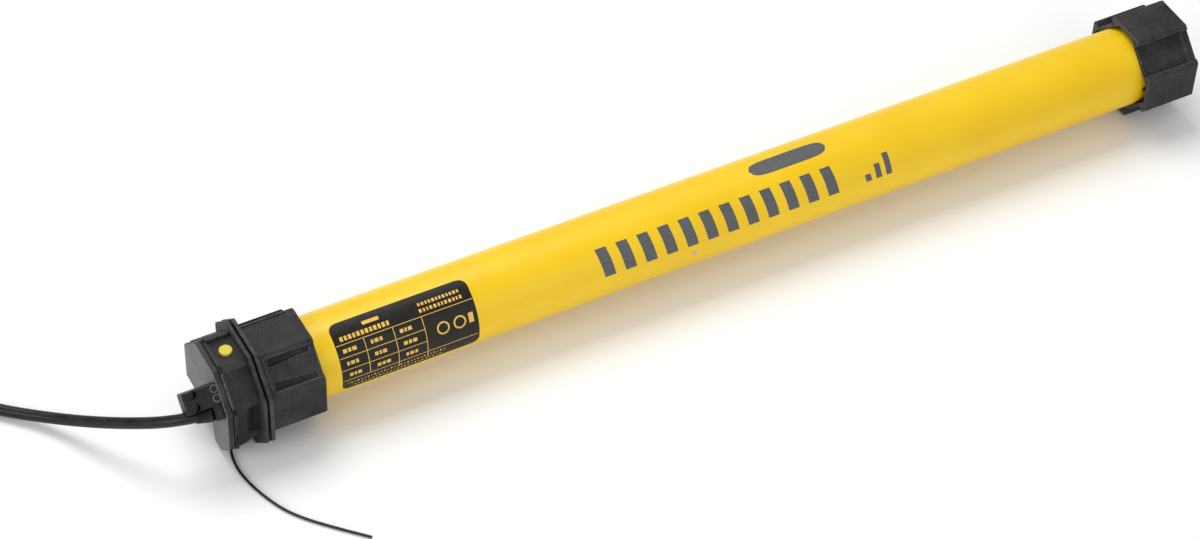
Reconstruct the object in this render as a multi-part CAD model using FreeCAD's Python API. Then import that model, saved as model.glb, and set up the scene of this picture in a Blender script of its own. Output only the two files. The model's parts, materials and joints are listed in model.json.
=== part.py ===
import FreeCAD, Part
import math
import os

V = FreeCAD.Vector
ORIGIN = V(0, 0, 0)
AXIS_X = V(1, 0, 0)
os.makedirs("parts", exist_ok=True)

# Tubular motor for a roller shutter, lying on its side. X runs along the drive axis: the head and its
# cable are at -X, the drive wheel at +X. In this source z = 0 is the drive axis; save() lifts every
# piece by AXIS_HEIGHT, so that the floor under the flange is z = 0 in the finished frame.
# Millimetres. Angles about X are measured from +Y towards +Z.

# ---- driving sizes: envelope ----
FLANGE_AF = 61.4
AXIS_HEIGHT = FLANGE_AF / 2
ADAPTER_AF = 56.4
HEAD_AF = 56.8
TUBE_R = 22.5
TUBE_WALL = 1.5
TUBE_BORE = TUBE_R - TUBE_WALL

PLUG_REACH = 18.6
COVER_LENGTH = 3.6
HEAD_LENGTH = 15.4
FLANGE_THICK = 1.9
RIM_GAP = 1.5
RIM_THICK = 2.0
CROWN_LENGTH = 31.0
TUBE_SHOWN = 510.0
WHEEL_LENGTH = 34.0
TOTAL_LENGTH = (PLUG_REACH + COVER_LENGTH + HEAD_LENGTH + FLANGE_THICK + RIM_GAP + RIM_THICK
                + CROWN_LENGTH + TUBE_SHOWN + WHEEL_LENGTH)

# ---- stations along the axis, from the plug's end to the drive wheel's end ----
X_PLUG = -TOTAL_LENGTH / 2
X_FRONT = X_PLUG + PLUG_REACH
X_SEAM = X_FRONT + COVER_LENGTH
X_FLANGE = X_SEAM + HEAD_LENGTH
X_COLLAR = X_FLANGE + FLANGE_THICK
X_RIM = X_COLLAR + RIM_GAP
X_CROWN = X_RIM + RIM_THICK
X_CROWN_END = X_CROWN + CROWN_LENGTH
X_WHEEL = X_CROWN_END + TUBE_SHOWN
X_END = X_WHEEL + WHEEL_LENGTH
X_TUBE = X_CROWN_END - 17.0
X_TUBE_END = X_WHEEL + 6.0
X_BOARD = X_TUBE + 30.0
X_CAPACITOR = X_BOARD + 110.0
X_REAR_SHIELD = -20.0
X_STATOR = 6.0
X_BRAKE = 124.0
X_GEARBOX = 160.0

# ---- fits ----
TURN_GAP = 0.05
SLIDE_GAP = 0.06
AIR_GAP = 0.3

# ---- planetary gear train: three equal stages, ring fixed, 4.5 to 1 each ----
MODULE = 0.65
SUN_TEETH = 16
PLANET_TEETH = 20
RING_TEETH = SUN_TEETH + 2 * PLANET_TEETH
PLANETS = 3
PRESSURE_ANGLE = math.radians(20)
ADDENDUM = 0.9
DEDENDUM = 1.2
BACKLASH = 0.08
CENTRE_DISTANCE = MODULE * (SUN_TEETH + PLANET_TEETH) / 2
STAGE_FACE = (8.0, 10.0, 14.0)
PLATE_THICK = (4.0, 5.0, 8.0)
STAGE_GAP = 1.0
PIN_R = 2.0
ROTOR_SHAFT_R = 4.0
SUN_SHAFT_R = 2.5
OUTPUT_R = 7.0
OUTPUT_FLAT = 5.5

# ---- limit gear: the crown's inner gear turns a pinion in the head's neck ----
LIMIT_MODULE = 0.8
CROWN_TEETH = 54
PINION_TEETH = 18
PINION_ANGLE = 300.0
PINION_RADIUS = LIMIT_MODULE * (CROWN_TEETH - PINION_TEETH) / 2
PINION_SHAFT_R = 1.5

# ---- cords ----
CABLE_R = 3.15
WIRE_R = 0.75
CONDUCTOR_R = 1.15
FLOOR = -AXIS_HEIGHT


# ---------------------------------------------------------------- helpers
def save(name, shape):
    """Lift a piece to its place above the floor and write it under its node name."""
    lifted = shape.copy()
    lifted.translate(V(0, 0, AXIS_HEIGHT))
    lifted.exportStep("parts/%s.step" % name)
    facts = (name, len(lifted.Solids), lifted.isValid(), lifted.Volume)
    print("%-20s solids %d valid %s volume %.1f" % facts)


def group(shapes):
    return Part.makeCompound(shapes)


def disc(x0, x1, radius, y=0.0, z=0.0):
    return Part.makeCylinder(radius, x1 - x0, V(x0, y, z), AXIS_X)


def ring(x0, x1, outer, inner, y=0.0, z=0.0):
    return disc(x0, x1, outer, y, z).cut(disc(x0 - 1, x1 + 1, inner, y, z))


def polar(radius, degrees):
    """Y and Z of a point at a radius and an angle about the drive axis."""
    turn = math.radians(degrees)
    return radius * math.cos(turn), radius * math.sin(turn)


def turned(shape, degrees):
    out = shape.copy()
    out.rotate(ORIGIN, AXIS_X, degrees)
    return out


def block(x0, x1, n0, n1, t0, t1, degrees=0.0):
    """Box from n0 to n1 outwards along the given angle, and t0 to t1 across it."""
    return turned(Part.makeBox(x1 - x0, n1 - n0, t1 - t0, V(x0, n0, t0)), degrees)


def radial_pin(x, r0, r1, radius, degrees):
    """Round pin that points outwards at an angle, from radius r0 to r1."""
    y, z = polar(1.0, degrees)
    return Part.makeCylinder(radius, r1 - r0, V(x, y * r0, z * r0), V(0, y, z))


def prism(x0, x1, corners):
    """Straight bar along X with the given outline of (y, z) corners."""
    points = [V(x0, y, z) for y, z in corners]
    return Part.Face(Part.makePolygon(points + points[:1])).extrude(V(x1 - x0, 0, 0))


def facets(distances):
    """Corners of an eight-sided outline from the distance of each flat to the axis, +Y flat first."""
    corners = []
    for i, near in enumerate(distances):
        after = distances[(i + 1) % 8]
        a = math.radians(45 * i)
        b = a + math.radians(45)
        y = (near * math.sin(b) - after * math.sin(a)) / math.sin(b - a)
        z = (after * math.cos(a) - near * math.cos(b)) / math.sin(b - a)
        corners.append((y, z))
    return corners


def octagon(x0, x1, across_flats):
    return prism(x0, x1, facets([across_flats / 2] * 8))


def along_x(shape, radius):
    """Round every straight edge that runs along X."""
    edges = []
    for edge in shape.Edges:
        ends = [v.Point for v in edge.Vertexes]
        if len(ends) == 2 and abs(abs(ends[1].x - ends[0].x) - edge.Length) < 1e-6:
            edges.append(edge)
    return shape.makeFillet(radius, edges)


# ---------------------------------------------------------------- gear teeth
def involute(angle):
    return math.tan(angle) - angle


def tooth_outline(teeth, module, low, high, thinning, phase):
    """Involute teeth between radius low and high, thinned at the pitch circle, one tooth on phase."""
    pitch = module * teeth / 2
    base = pitch * math.cos(PRESSURE_ANGLE)
    start = max(low, base)
    radii = [start + (high - start) * i / 2 for i in range(3)]
    half = [math.pi / (2 * teeth) + involute(PRESSURE_ANGLE) - involute(math.acos(min(1.0, base / r)))
            - thinning / (2 * pitch) for r in radii]
    if low < start:
        radii.insert(0, low)
        half.insert(0, half[0])
    points = []
    for tooth in range(teeth):
        centre = phase + 2 * math.pi * tooth / teeth
        flank = [(r, centre - h) for r, h in zip(radii, half)]
        flank += [(r, centre + h) for r, h in zip(reversed(radii), reversed(half))]
        points += [(r * math.cos(a), r * math.sin(a)) for r, a in flank]
    return points


def outer_gear(x0, x1, teeth, module, phase=0.0):
    pitch = module * teeth / 2
    root = pitch - DEDENDUM * module
    tip = pitch + ADDENDUM * module
    return prism(x0, x1, tooth_outline(teeth, module, root, tip, BACKLASH, phase))


def inner_gear(x0, x1, teeth, module, outside_r, phase=0.0):
    """Ring with inner teeth; phase is the middle of one of its tooth spaces."""
    pitch = module * teeth / 2
    tip = pitch - ADDENDUM * module
    root = pitch + DEDENDUM * module
    spaces = tooth_outline(teeth, module, tip, root, -BACKLASH, phase)
    return disc(x0, x1, outside_r).cut(prism(x0 - 1, x1 + 1, spaces))


# ---------------------------------------------------------------- cords
def cord(route, radius):
    """Round cord along straight runs joined by tangent arcs, as large as the two runs beside each allow."""
    points = [V(*p) for p in route]
    runs = [(points[i + 1] - points[i]).Length for i in range(len(points) - 1)]
    edges = []
    radii = []
    last = points[0]
    for i in range(1, len(points) - 1):
        back = (points[i - 1] - points[i]).normalize()
        ahead = (points[i + 1] - points[i]).normalize()
        half_turn = (math.pi - back.getAngle(ahead)) / 2
        reach = 0.45 * min(runs[i - 1], runs[i])
        bend = reach / math.tan(half_turn)
        radii.append(bend)
        start = points[i] + back * reach
        end = points[i] + ahead * reach
        middle = (back + ahead).normalize()
        centre = points[i] + middle * (bend / math.cos(half_turn))
        edges.append(Part.LineSegment(last, start).toShape())
        edges.append(Part.Arc(start, centre - middle * bend, end).toShape())
        last = end
    edges.append(Part.LineSegment(last, points[-1]).toShape())
    path = Part.Wire(edges)
    section = Part.Wire([Part.makeCircle(radius, points[0], points[1] - points[0])])
    tube = path.makePipeShell([section], True, True)
    print("  cord: length %.1f, smallest bend %.1f, volume over section x length %.4f"
          % (path.Length, min(radii), tube.Volume / (math.pi * radius ** 2 * path.Length)))
    return tube


# ---------------------------------------------------------------- tube and label
RIVET_R = 1.5
RIVET_FOOT = TUBE_BORE - 4.0
RIVET_STATIONS = (X_TUBE + 8.0, X_REAR_SHIELD + 5.4, X_TUBE_END - 3.4)
RIVET_ANGLES = (180.0, 0.0)
LABEL_START = -223.8
LABEL_LENGTH = 79.0
LABEL_FROM = 98.0
LABEL_TO = 204.0
LABEL_THICK = 0.12


def rivets(r0, r1):
    return [radial_pin(x, r0, r1, RIVET_R, a) for x in RIVET_STATIONS for a in RIVET_ANGLES]


def rivet_holes():
    return group(rivets(RIVET_FOOT, TUBE_R + 1.0))


def motor_tube():
    return ring(X_TUBE, X_TUBE_END, TUBE_R, TUBE_BORE).cut(rivet_holes())


def tube_rivets():
    return group(rivets(RIVET_FOOT, TUBE_R - 0.35))


def rating_label():
    """Thin foil wrapped round the tube, with rounded corners."""
    foil = ring(LABEL_START, LABEL_START + LABEL_LENGTH, TUBE_R + LABEL_THICK, TUBE_R)
    wedge = [(0.0, 0.0)] + [polar(40.0, LABEL_FROM + (LABEL_TO - LABEL_FROM) * i / 8) for i in range(9)]
    return foil.common(prism(LABEL_START - 1, LABEL_START + LABEL_LENGTH + 1, wedge))


# ---------------------------------------------------------------- head
NECK_R = 20.2
SHOULDER_X = X_TUBE - 4.0
SPIGOT_END = X_TUBE + 24.0
WALL_IN = X_COLLAR + 4.6
PINION_END = SHOULDER_X - 1.4
CAVITY_R = 21.6
LEAD_HOLE_R = 6.0
OUTER_CORNER = 2.4
HEAD_RIM = 1.6
BUTTON_X = X_FLANGE - 6.5
BUTTON_Y = 1.0
BUTTON_R = 3.5
BUTTON_TOP = 27.3
BUTTON_TRAVEL = 1.0
TOP_FLOOR = 25.5
BUTTON_FLANGE_R = 4.8
HOOK_ANGLES = (45.0, 200.0)
BUTTON_FLANGE_TOP = 22.6
SWITCH_TOP = 16.4
PLUG_ANGLE = 135.0
PLUG_NEAR = 14.9
PLUG_FAR = 25.9
PLUG_LOW = -6.6
PLUG_HIGH = 5.2
PLUG_MIDDLE = (PLUG_LOW + PLUG_HIGH) / 2
SOCKET_HALF = 5.8
CABLE_N = 20.6
CABLE_T = PLUG_HIGH + CABLE_R + 0.1
NOTCH_DEPTH = 4.0
NOTCH = [(45.0, -10.5), (-4.5, -14.0), (-11.5, -45.0), (45.0, -45.0)]


def head_outline(base, grow=0.0):
    """Flats of the head: regular, but the lower flat on the -Y side stands further out."""
    flats = [base] * 8
    flats[5] += OUTER_CORNER
    flats[1] += grow
    return facets(flats)


def pinion_place():
    return polar(PINION_RADIUS, PINION_ANGLE)


def upright(z0, z1, radius):
    """Round piece on the set button's axis, which points straight up."""
    return Part.makeCylinder(radius, z1 - z0, V(BUTTON_X, BUTTON_Y, z0), V(0, 0, 1))


def head_body():
    half = HEAD_AF / 2
    rim = prism(X_SEAM, X_SEAM + HEAD_RIM, head_outline(half))
    middle = prism(X_SEAM + HEAD_RIM, X_FLANGE, facets([half, half, TOP_FLOOR, half - 1.0, half - 2.2,
                                                        half + OUTER_CORNER - 1.0, half, half]))
    back_rail = block(X_SEAM + HEAD_RIM, X_FLANGE, 10.0, 11.6, TOP_FLOOR - 2, half)
    flange = prism(X_FLANGE, X_COLLAR, head_outline(FLANGE_AF / 2, OUTER_CORNER))
    collar = disc(X_COLLAR, X_RIM - 0.1, 25.0)
    neck = disc(X_COLLAR, SHOULDER_X, NECK_R)
    shoulder = disc(SHOULDER_X, X_TUBE, TUBE_R - 0.05)
    spigot = disc(X_TUBE, SPIGOT_END, TUBE_BORE)
    body = rim.fuse([middle, back_rail, flange, collar, neck, shoulder, spigot])
    notch = prism(X_SEAM - 1, X_SEAM + NOTCH_DEPTH, NOTCH)
    around_notch = [(y * 1.12 - 2.2, z * 1.12 + 3.2) for y, z in NOTCH]
    notch_wall = prism(X_SEAM - 1, X_SEAM + NOTCH_DEPTH + 1.4, around_notch)
    cavity = disc(X_SEAM - 1, X_FLANGE - 0.2, CAVITY_R).cut(notch_wall)
    py, pz = pinion_place()
    cuts = [notch, cavity,
            disc(WALL_IN, PINION_END + 0.6, NECK_R - 2.4),
            disc(X_TUBE - 0.5, SPIGOT_END + 1, TUBE_BORE - 2.2),
            disc(X_FLANGE - 2, X_TUBE + 1, LEAD_HOLE_R),
            block(X_FLANGE - 2, WALL_IN + 1, 0.0, 18.8, -5.0, 4.0, PLUG_ANGLE),
            disc(WALL_IN - 0.2, PINION_END + 0.2, LIMIT_MODULE * PINION_TEETH / 2 + 1.2, py, pz),
            disc(WALL_IN - 3.6, X_TUBE + 1, PINION_SHAFT_R + TURN_GAP, py, pz),
            upright(15.0, 35.0, BUTTON_R + SLIDE_GAP),
            upright(12.0, BUTTON_FLANGE_TOP + 0.05, BUTTON_FLANGE_R + 0.3),
            block(X_SEAM - 1, X_SEAM + 11.0, PLUG_NEAR - 2.0, PLUG_FAR - 3.0, PLUG_MIDDLE - SOCKET_HALF,
                  PLUG_MIDDLE + SOCKET_HALF, PLUG_ANGLE),
            block(X_FLANGE - 6.0, X_FLANGE + 0.01, 23.4, 40.0, -9.0, 6.0, 180.0),
            radial_pin(ANTENNA_EXIT[0], 10.0, 40.0, 2.0, ANTENNA_ANGLE),
            rivet_holes()]
    for cut in cuts:
        body = body.cut(cut)
    return body


def head_front_cover():
    plate = prism(X_FRONT, X_SEAM, head_outline(HEAD_AF / 2 - 0.4))
    plate = plate.makeFillet(1.4, [e for e in plate.Edges
                                   if all(abs(v.X - X_FRONT) < 1e-6 for v in e.Vertexes)])
    plate = plate.cut(prism(X_FRONT - 1, X_SEAM + 1, NOTCH))
    plate = plate.cut(block(X_FRONT - 1, X_SEAM + 1, PLUG_NEAR, PLUG_FAR - 5.0, PLUG_MIDDLE - 4.6,
                            PLUG_MIDDLE + 4.6, PLUG_ANGLE))
    for angle in HOOK_ANGLES:
        plate = plate.fuse(block(X_SEAM, X_SEAM + 5.0, CAVITY_R - 1.9, CAVITY_R - 0.4, -3.0, 3.0, angle))
    return plate


def set_button():
    cap = upright(BUTTON_FLANGE_TOP - 1.2, BUTTON_TOP, BUTTON_R)
    top = [e for e in cap.Edges if all(abs(v.Z - BUTTON_TOP) < 1e-6 for v in e.Vertexes)]
    cap = cap.makeFillet(0.5, top)
    return cap.fuse([upright(BUTTON_FLANGE_TOP - 1.2, BUTTON_FLANGE_TOP, BUTTON_FLANGE_R),
                     upright(SWITCH_TOP + BUTTON_TRAVEL + 0.2, BUTTON_FLANGE_TOP - 1.2, 1.2)])


SPRING_STEPS = 12


def coil_spring(start, direction, mean_r, wire_r, length, turns):
    """Coil spring with its axis along the given direction: a cord through twelve points of each turn."""
    steps = SPRING_STEPS * turns
    route = []
    for i in range(steps + 1):
        y, z = polar(mean_r, 360.0 * i / SPRING_STEPS)
        route.append((length * i / steps, y, z))
    spring = cord(route, wire_r)
    spring.Placement = FreeCAD.Placement(start, FreeCAD.Rotation(AXIS_X, direction))
    return spring


def button_spring():
    low = SWITCH_TOP + 0.35
    return coil_spring(V(BUTTON_X, BUTTON_Y, low), V(0, 0, 1), 2.6, 0.25, BUTTON_FLANGE_TOP - 1.5 - low, 4)


def button_switch():
    """Small board, a push switch and its actuator."""
    board = Part.makeBox(11, 15, 1.2, V(BUTTON_X - 5.5, BUTTON_Y - 4.5, SWITCH_TOP - 4.8))
    case = Part.makeBox(8, 8, 3.6, V(BUTTON_X - 4, BUTTON_Y - 4, SWITCH_TOP - 3.6))
    return board.fuse([case, upright(SWITCH_TOP, SWITCH_TOP + 0.15, 1.4)])


def cable_socket():
    shell = block(X_SEAM, X_SEAM + 11.0, PLUG_NEAR - 1.9, PLUG_FAR - 3.1, PLUG_MIDDLE - SOCKET_HALF + 0.1,
                  PLUG_MIDDLE + SOCKET_HALF - 0.1, PLUG_ANGLE)
    hollow = block(X_SEAM - 1, X_SEAM + 8.0, PLUG_NEAR, PLUG_FAR - 5.0, PLUG_MIDDLE - 4.6,
                   PLUG_MIDDLE + 4.6, PLUG_ANGLE)
    return shell.cut(hollow).fuse([blade(t) for t in CONTACTS])


def blade(t):
    """One contact blade of the socket, which stands in a fork of the plug."""
    return block(X_SEAM + 3.0, X_SEAM + 10.0, 17.4, 18.2, t - 0.9, t + 0.9, PLUG_ANGLE)


CONTACTS = (PLUG_MIDDLE - 3.0, PLUG_MIDDLE, PLUG_MIDDLE + 3.0)
SCREW_X = X_PLUG + 5.4
SCREW_T = (PLUG_MIDDLE - 3.5, PLUG_MIDDLE + 3.5)
WELL_R = 2.0
WELL_LIP_R = 2.9


def plug_block():
    """Square block that stands out of the head face, rounded at its free end, on a wider root."""
    bar = block(X_PLUG, X_FRONT, PLUG_NEAR, PLUG_FAR, PLUG_LOW, PLUG_HIGH)
    ends = [e for e in bar.Edges if all(abs(v.X - X_PLUG) < 1e-6 for v in e.Vertexes)]
    bar = bar.makeFillet(1.2, ends)
    root = block(X_FRONT - 5.0, X_FRONT, PLUG_NEAR + 1.2, PLUG_FAR - 0.8, 0.0, CABLE_T + 4.4)
    tongue = block(X_FRONT, X_SEAM + 7.6, PLUG_NEAR + 0.2, PLUG_FAR - 5.2, PLUG_MIDDLE - 4.4,
                   PLUG_MIDDLE + 4.4)
    return bar.fuse([root, tongue])


def cable_plug():
    plug = plug_block()
    for t in SCREW_T:
        plug = plug.fuse(Part.makeCylinder(WELL_LIP_R, 0.85, V(SCREW_X, PLUG_FAR - 0.5, t), V(0, 1, 0)))
        plug = plug.cut(Part.makeCylinder(WELL_R, 8.0, V(SCREW_X, PLUG_FAR - 5.4, t), V(0, 1, 0)))
    for t in CONTACTS:
        plug = plug.cut(Part.makeBox(9.0, 1.8, 2.2, V(X_SEAM - 1.0, 16.9, t - 1.1)))
    return turned(plug, PLUG_ANGLE).cut(cable_stub(CABLE_R, 0.0, 12.0))


def plug_screws():
    screws = []
    for t in SCREW_T:
        head = Part.makeCylinder(WELL_R - 0.1, 2.3, V(SCREW_X, PLUG_FAR - 5.4, t), V(0, 1, 0))
        slot = Part.makeBox(6.0, 0.8, 0.7, V(SCREW_X - 3.0, PLUG_FAR - 3.8, t - 0.35))
        screws.append(turned(head.cut(slot), PLUG_ANGLE))
    return group(screws)


def plug_contacts():
    return group([block(X_SEAM - 0.8, X_SEAM + 6.8, 17.0, 17.8, t - 0.8, t + 0.8, PLUG_ANGLE).cut(blade(t))
                  for t in CONTACTS])


def cable_axis():
    """Y and Z of the cable where it leaves the plug."""
    point = turned(Part.Vertex(0, CABLE_N, CABLE_T), PLUG_ANGLE).Vertexes[0].Point
    return point.y, point.z


def cable_stub(radius, behind, ahead):
    """Round bar on the cable's line where it leaves the plug, from behind the exit to ahead of it."""
    route = cable_route()
    start = V(*route[0])
    along = (V(*route[1]) - start).normalize()
    return Part.makeCylinder(radius, behind + ahead, start - along * behind, along)


def cable_gland():
    """Tapered sleeve round the cable at the plug's root, flattened where the plug's block is."""
    route = cable_route()
    start = V(*route[0])
    along = (V(*route[1]) - start).normalize()
    cone = Part.makeCone(4.4, 3.8, 9.0, start, along)
    beside = block(X_PLUG - 1, X_FRONT + 1, PLUG_NEAR - 9, PLUG_FAR + 9, PLUG_LOW, PLUG_HIGH + 0.05,
                   PLUG_ANGLE)
    root = block(X_FRONT - 5.0, X_FRONT, PLUG_NEAR, PLUG_FAR, 0.0, CABLE_T + 5.0, PLUG_ANGLE)
    return cone.cut(cable_stub(CABLE_R, 1.0, 12.0)).cut(beside).cut(root)


# ---------------------------------------------------------------- crown and limit gear
CROWN_BORE = TUBE_R + 0.08
CROWN_GEAR_R = 24.2
CROWN_GEAR_X = X_RIM + 0.6
CROWN_RIDGE = 2.75
CROWN_RECESS = 1.1


def crown():
    half = ADAPTER_AF / 2
    rim_flats = [FLANGE_AF / 2] * 8
    rim_flats[1] += OUTER_CORNER
    rim_flats[5] += OUTER_CORNER
    rim = prism(X_RIM, X_CROWN, facets(rim_flats))
    sleeve = along_x(octagon(X_CROWN, X_CROWN_END, ADAPTER_AF), 0.8)
    flat = 2 * half * math.tan(math.pi / 8)
    for angle in (45.0, 135.0, 225.0, 315.0):
        wide = flat / 2 - CROWN_RIDGE
        bed = half - CROWN_RECESS
        sleeve = sleeve.cut(block(X_CROWN + 3.0, X_CROWN_END + 1, bed, half + 3, -wide, wide, angle))
        for side in (-1, 1):
            t = side * (wide - 2.0)
            groove = block(X_CROWN + 6.0, X_CROWN_END - 2.0, bed - 1.3, half, t - 1.1, t + 1.1, angle)
            sleeve = sleeve.cut(groove)
    rib = block(X_CROWN + 1.0, X_CROWN_END - 5.0, half - 1.5, half + 0.9, -11.2, -10.2, 90.0)
    body = rim.fuse([sleeve, rib])
    body = body.cut(disc(X_RIM - 1, PINION_END + 1.0, CROWN_GEAR_R))
    return body.cut(disc(X_RIM - 1, X_CROWN_END + 1, CROWN_BORE))


def crown_gear():
    phase = math.radians(PINION_ANGLE)
    return inner_gear(CROWN_GEAR_X, PINION_END + 0.8, CROWN_TEETH, LIMIT_MODULE, CROWN_GEAR_R, phase)


def limit_pinion():
    """Pinion, its shaft and the slotted counting wheel, moulded in one piece."""
    y, z = pinion_place()
    phase = math.radians(PINION_ANGLE)
    gear = outer_gear(WALL_IN + 0.2, PINION_END - 0.2, PINION_TEETH, LIMIT_MODULE, phase)
    wheel = disc(X_TUBE + 16.0, X_TUBE + 17.2, 4.2)
    for i in range(8):
        wheel = wheel.cut(block(X_TUBE, X_TUBE + 20, 2.6, 7.0, -0.5, 0.5, 45.0 * i))
    shaft = disc(WALL_IN - 3.4, X_BOARD - 8.0, PINION_SHAFT_R)
    pinion = gear.fuse([wheel, shaft])
    pinion.translate(V(0, y, z))
    return pinion


# ---------------------------------------------------------------- electronics
BOARD_Z = -4.0
BOARD_LENGTH = 100.0
BOARD_HALF = 18.6
CAPACITOR_R = 17.0
CAPACITOR_LENGTH = 72.0


def control_board():
    return Part.makeBox(BOARD_LENGTH, 2 * BOARD_HALF, 1.6, V(X_BOARD, -BOARD_HALF, BOARD_Z))


def board_components():
    """Two relays, a transformer, a buffer capacitor, a radio module, a controller and the terminals."""
    top = BOARD_Z + 1.6
    parts = [Part.makeBox(18.5, 10.0, 13.5, V(X_BOARD + 62, y, top)) for y in (-12.0, 2.0)]
    parts.append(Part.makeBox(24.0, 22.0, 15.0, V(X_BOARD + 32, -11.0, top)))
    parts.append(Part.makeCylinder(5.0, 16.0, V(X_BOARD + 22.0, 8.0, top), V(0, 0, 1)))
    parts.append(Part.makeBox(18.0, 12.0, 2.4, V(X_BOARD + 4.0, -16.0, top)))
    parts.append(Part.makeBox(7.0, 7.0, 1.4, V(X_BOARD + 6.0, 4.0, top)))
    parts.append(Part.makeBox(10.0, 24.0, 9.0, V(X_BOARD + 88.0, -12.0, top)))
    return group(parts)


def run_capacitor():
    can = disc(X_CAPACITOR, X_CAPACITOR + CAPACITOR_LENGTH, CAPACITOR_R, 0, 2.0)
    rims = [e for e in can.Edges if e.Curve.TypeId == "Part::GeomCircle"]
    can = can.makeFillet(1.5, rims)
    tabs = [Part.makeBox(6.0, 0.8, 5.0, V(X_CAPACITOR - 6.0, y, -0.5)) for y in (-5.4, 4.6)]
    return can.fuse(tabs)


def capacitor_strap():
    """Foam-backed band that keeps the capacitor off the tube."""
    return ring(X_CAPACITOR + 28, X_CAPACITOR + 42, CAPACITOR_R + 1.6, CAPACITOR_R, 0, 2.0)


def inner_leads():
    """Insulated wires from the socket to the board, and from the board to the winding."""
    leads = []
    for t, y in zip(CONTACTS, (-4.0, 0.0, 4.0)):
        sy, sz = polar(17.8, PLUG_ANGLE)
        side = -0.7 * t
        supply = [(X_SEAM + 11.0, sy + side, sz + side), (X_FLANGE + 2.0, sy + side, sz + side),
                  (X_TUBE - 6.5, -3.0 - 0.45 * t, 3.0 - 0.45 * t), (X_TUBE + 4.0, -0.9 * t, 0.3),
                  (X_TUBE + 18.0, -1.2 * t, 0.3), (X_BOARD + 0.5, -1.4 * t, BOARD_Z + 2.4)]
        leads.append(cord(supply, 0.8))
        motor = [(X_BOARD + 90.0, y * 1.3, BOARD_Z - 0.9), (X_BOARD + 99.0, y * 1.1, BOARD_Z - 2.2),
                 (X_CAPACITOR - 1.0, y, -17.4), (X_CAPACITOR + 12.0, y, -18.3),
                 (X_CAPACITOR + 30.0, y * 1.1, -18.6), (X_CAPACITOR + 56.0, y, -18.5),
                 (X_REAR_SHIELD - 0.6, y, -17.0)]
        leads.append(cord(motor, 0.9))
    return group(leads)


# ---------------------------------------------------------------- motor
STATOR_LENGTH = 90.0
STATOR_R = TUBE_BORE
ROTOR_R = 11.0
SLOTS = 24
END_WINDING = 12.0
X_STATOR_END = X_STATOR + STATOR_LENGTH
X_FRONT_SHIELD = X_STATOR_END + 18.0
SHIELD_THICK = 8.0
BUSH_R = 6.5
BUSH_LENGTH = 8.0


def winding_slots(shrink):
    """Every winding slot between the stator's bore and its back iron, made smaller all round by shrink."""
    low = ROTOR_R + AIR_GAP + 1.2
    high = 18.0 - shrink
    outline = [(low, -0.55 + shrink), (high, -1.35 + shrink), (high, 1.35 - shrink), (low, 0.55 - shrink)]
    slot = prism(X_STATOR - 1, X_STATOR_END + 1, outline)
    return [turned(slot, 360.0 * i / SLOTS) for i in range(SLOTS)]


def stator_core():
    core = ring(X_STATOR, X_STATOR_END, STATOR_R, ROTOR_R + AIR_GAP)
    return core.cut(group(winding_slots(0.0)))


def stator_windings():
    """Copper in every slot, joined by the end windings at both ends of the core."""
    ends = []
    for x in (X_STATOR - END_WINDING, X_STATOR_END + 0.4):
        bundle = ring(x, x + END_WINDING - 0.4, 18.6, 12.6)
        rims = [e for e in bundle.Edges if e.Curve.TypeId == "Part::GeomCircle"]
        ends.append(bundle.makeFillet(2.4, rims))
    return ends[0].fuse(winding_slots(0.12) + ends[1:])


def end_shield(x0, skirt_from, skirt_to):
    plate = disc(x0, x0 + SHIELD_THICK, TUBE_BORE).cut(disc(x0 - 1, x0 + SHIELD_THICK + 1, BUSH_R))
    skirt = ring(skirt_from, skirt_to, TUBE_BORE, TUBE_BORE - 1.6)
    return plate.fuse(skirt).cut(rivet_holes())


def rear_end_shield():
    shield = end_shield(X_REAR_SHIELD, X_REAR_SHIELD + SHIELD_THICK, X_STATOR)
    for y in (-4.0, 0.0, 4.0):
        shield = shield.cut(disc(X_REAR_SHIELD - 1, X_REAR_SHIELD + SHIELD_THICK + 1, 1.2, y, -17.0))
    return shield


def front_end_shield():
    return end_shield(X_FRONT_SHIELD, X_STATOR_END, X_FRONT_SHIELD)


def rotor_bushes():
    return group([ring(x, x + BUSH_LENGTH, BUSH_R, ROTOR_SHAFT_R + TURN_GAP)
                  for x in (X_REAR_SHIELD, X_FRONT_SHIELD)])


def rotor_core():
    return ring(X_STATOR, X_STATOR_END, ROTOR_R, ROTOR_SHAFT_R).cut(
        group([disc(X_STATOR - 1, X_STATOR_END + 1, 0.9, *polar(9.6, 20.0 * i)) for i in range(18)]))


def rotor_cage():
    """Cast cage: bars through the core and a ring with fan vanes at each end."""
    bars = [disc(X_STATOR - 1, X_STATOR_END + 1, 0.9, *polar(9.6, 20.0 * i)) for i in range(18)]
    rings = [ring(X_STATOR - 5, X_STATOR, 10.8, 7.6), ring(X_STATOR_END, X_STATOR_END + 5, 10.8, 7.6)]
    return rings[0].fuse(bars + rings[1:])


def rotor_shaft():
    thin = disc(X_GEARBOX + 3.0, SUN_1_END, SUN_SHAFT_R)
    return disc(X_REAR_SHIELD - 4.0, X_GEARBOX + 3.0, ROTOR_SHAFT_R).fuse(thin)


# ---------------------------------------------------------------- brake
POT_LENGTH = 20.0
ARMATURE_GAP = 0.6
ARMATURE_TRAVEL = 0.4
ARMATURE_THICK = 4.0
LINING_THICK = 4.0
X_ARMATURE = X_BRAKE + POT_LENGTH + ARMATURE_GAP
X_LINING = X_ARMATURE + ARMATURE_THICK + 0.05
X_COUNTER = X_LINING + LINING_THICK + 0.05


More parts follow.
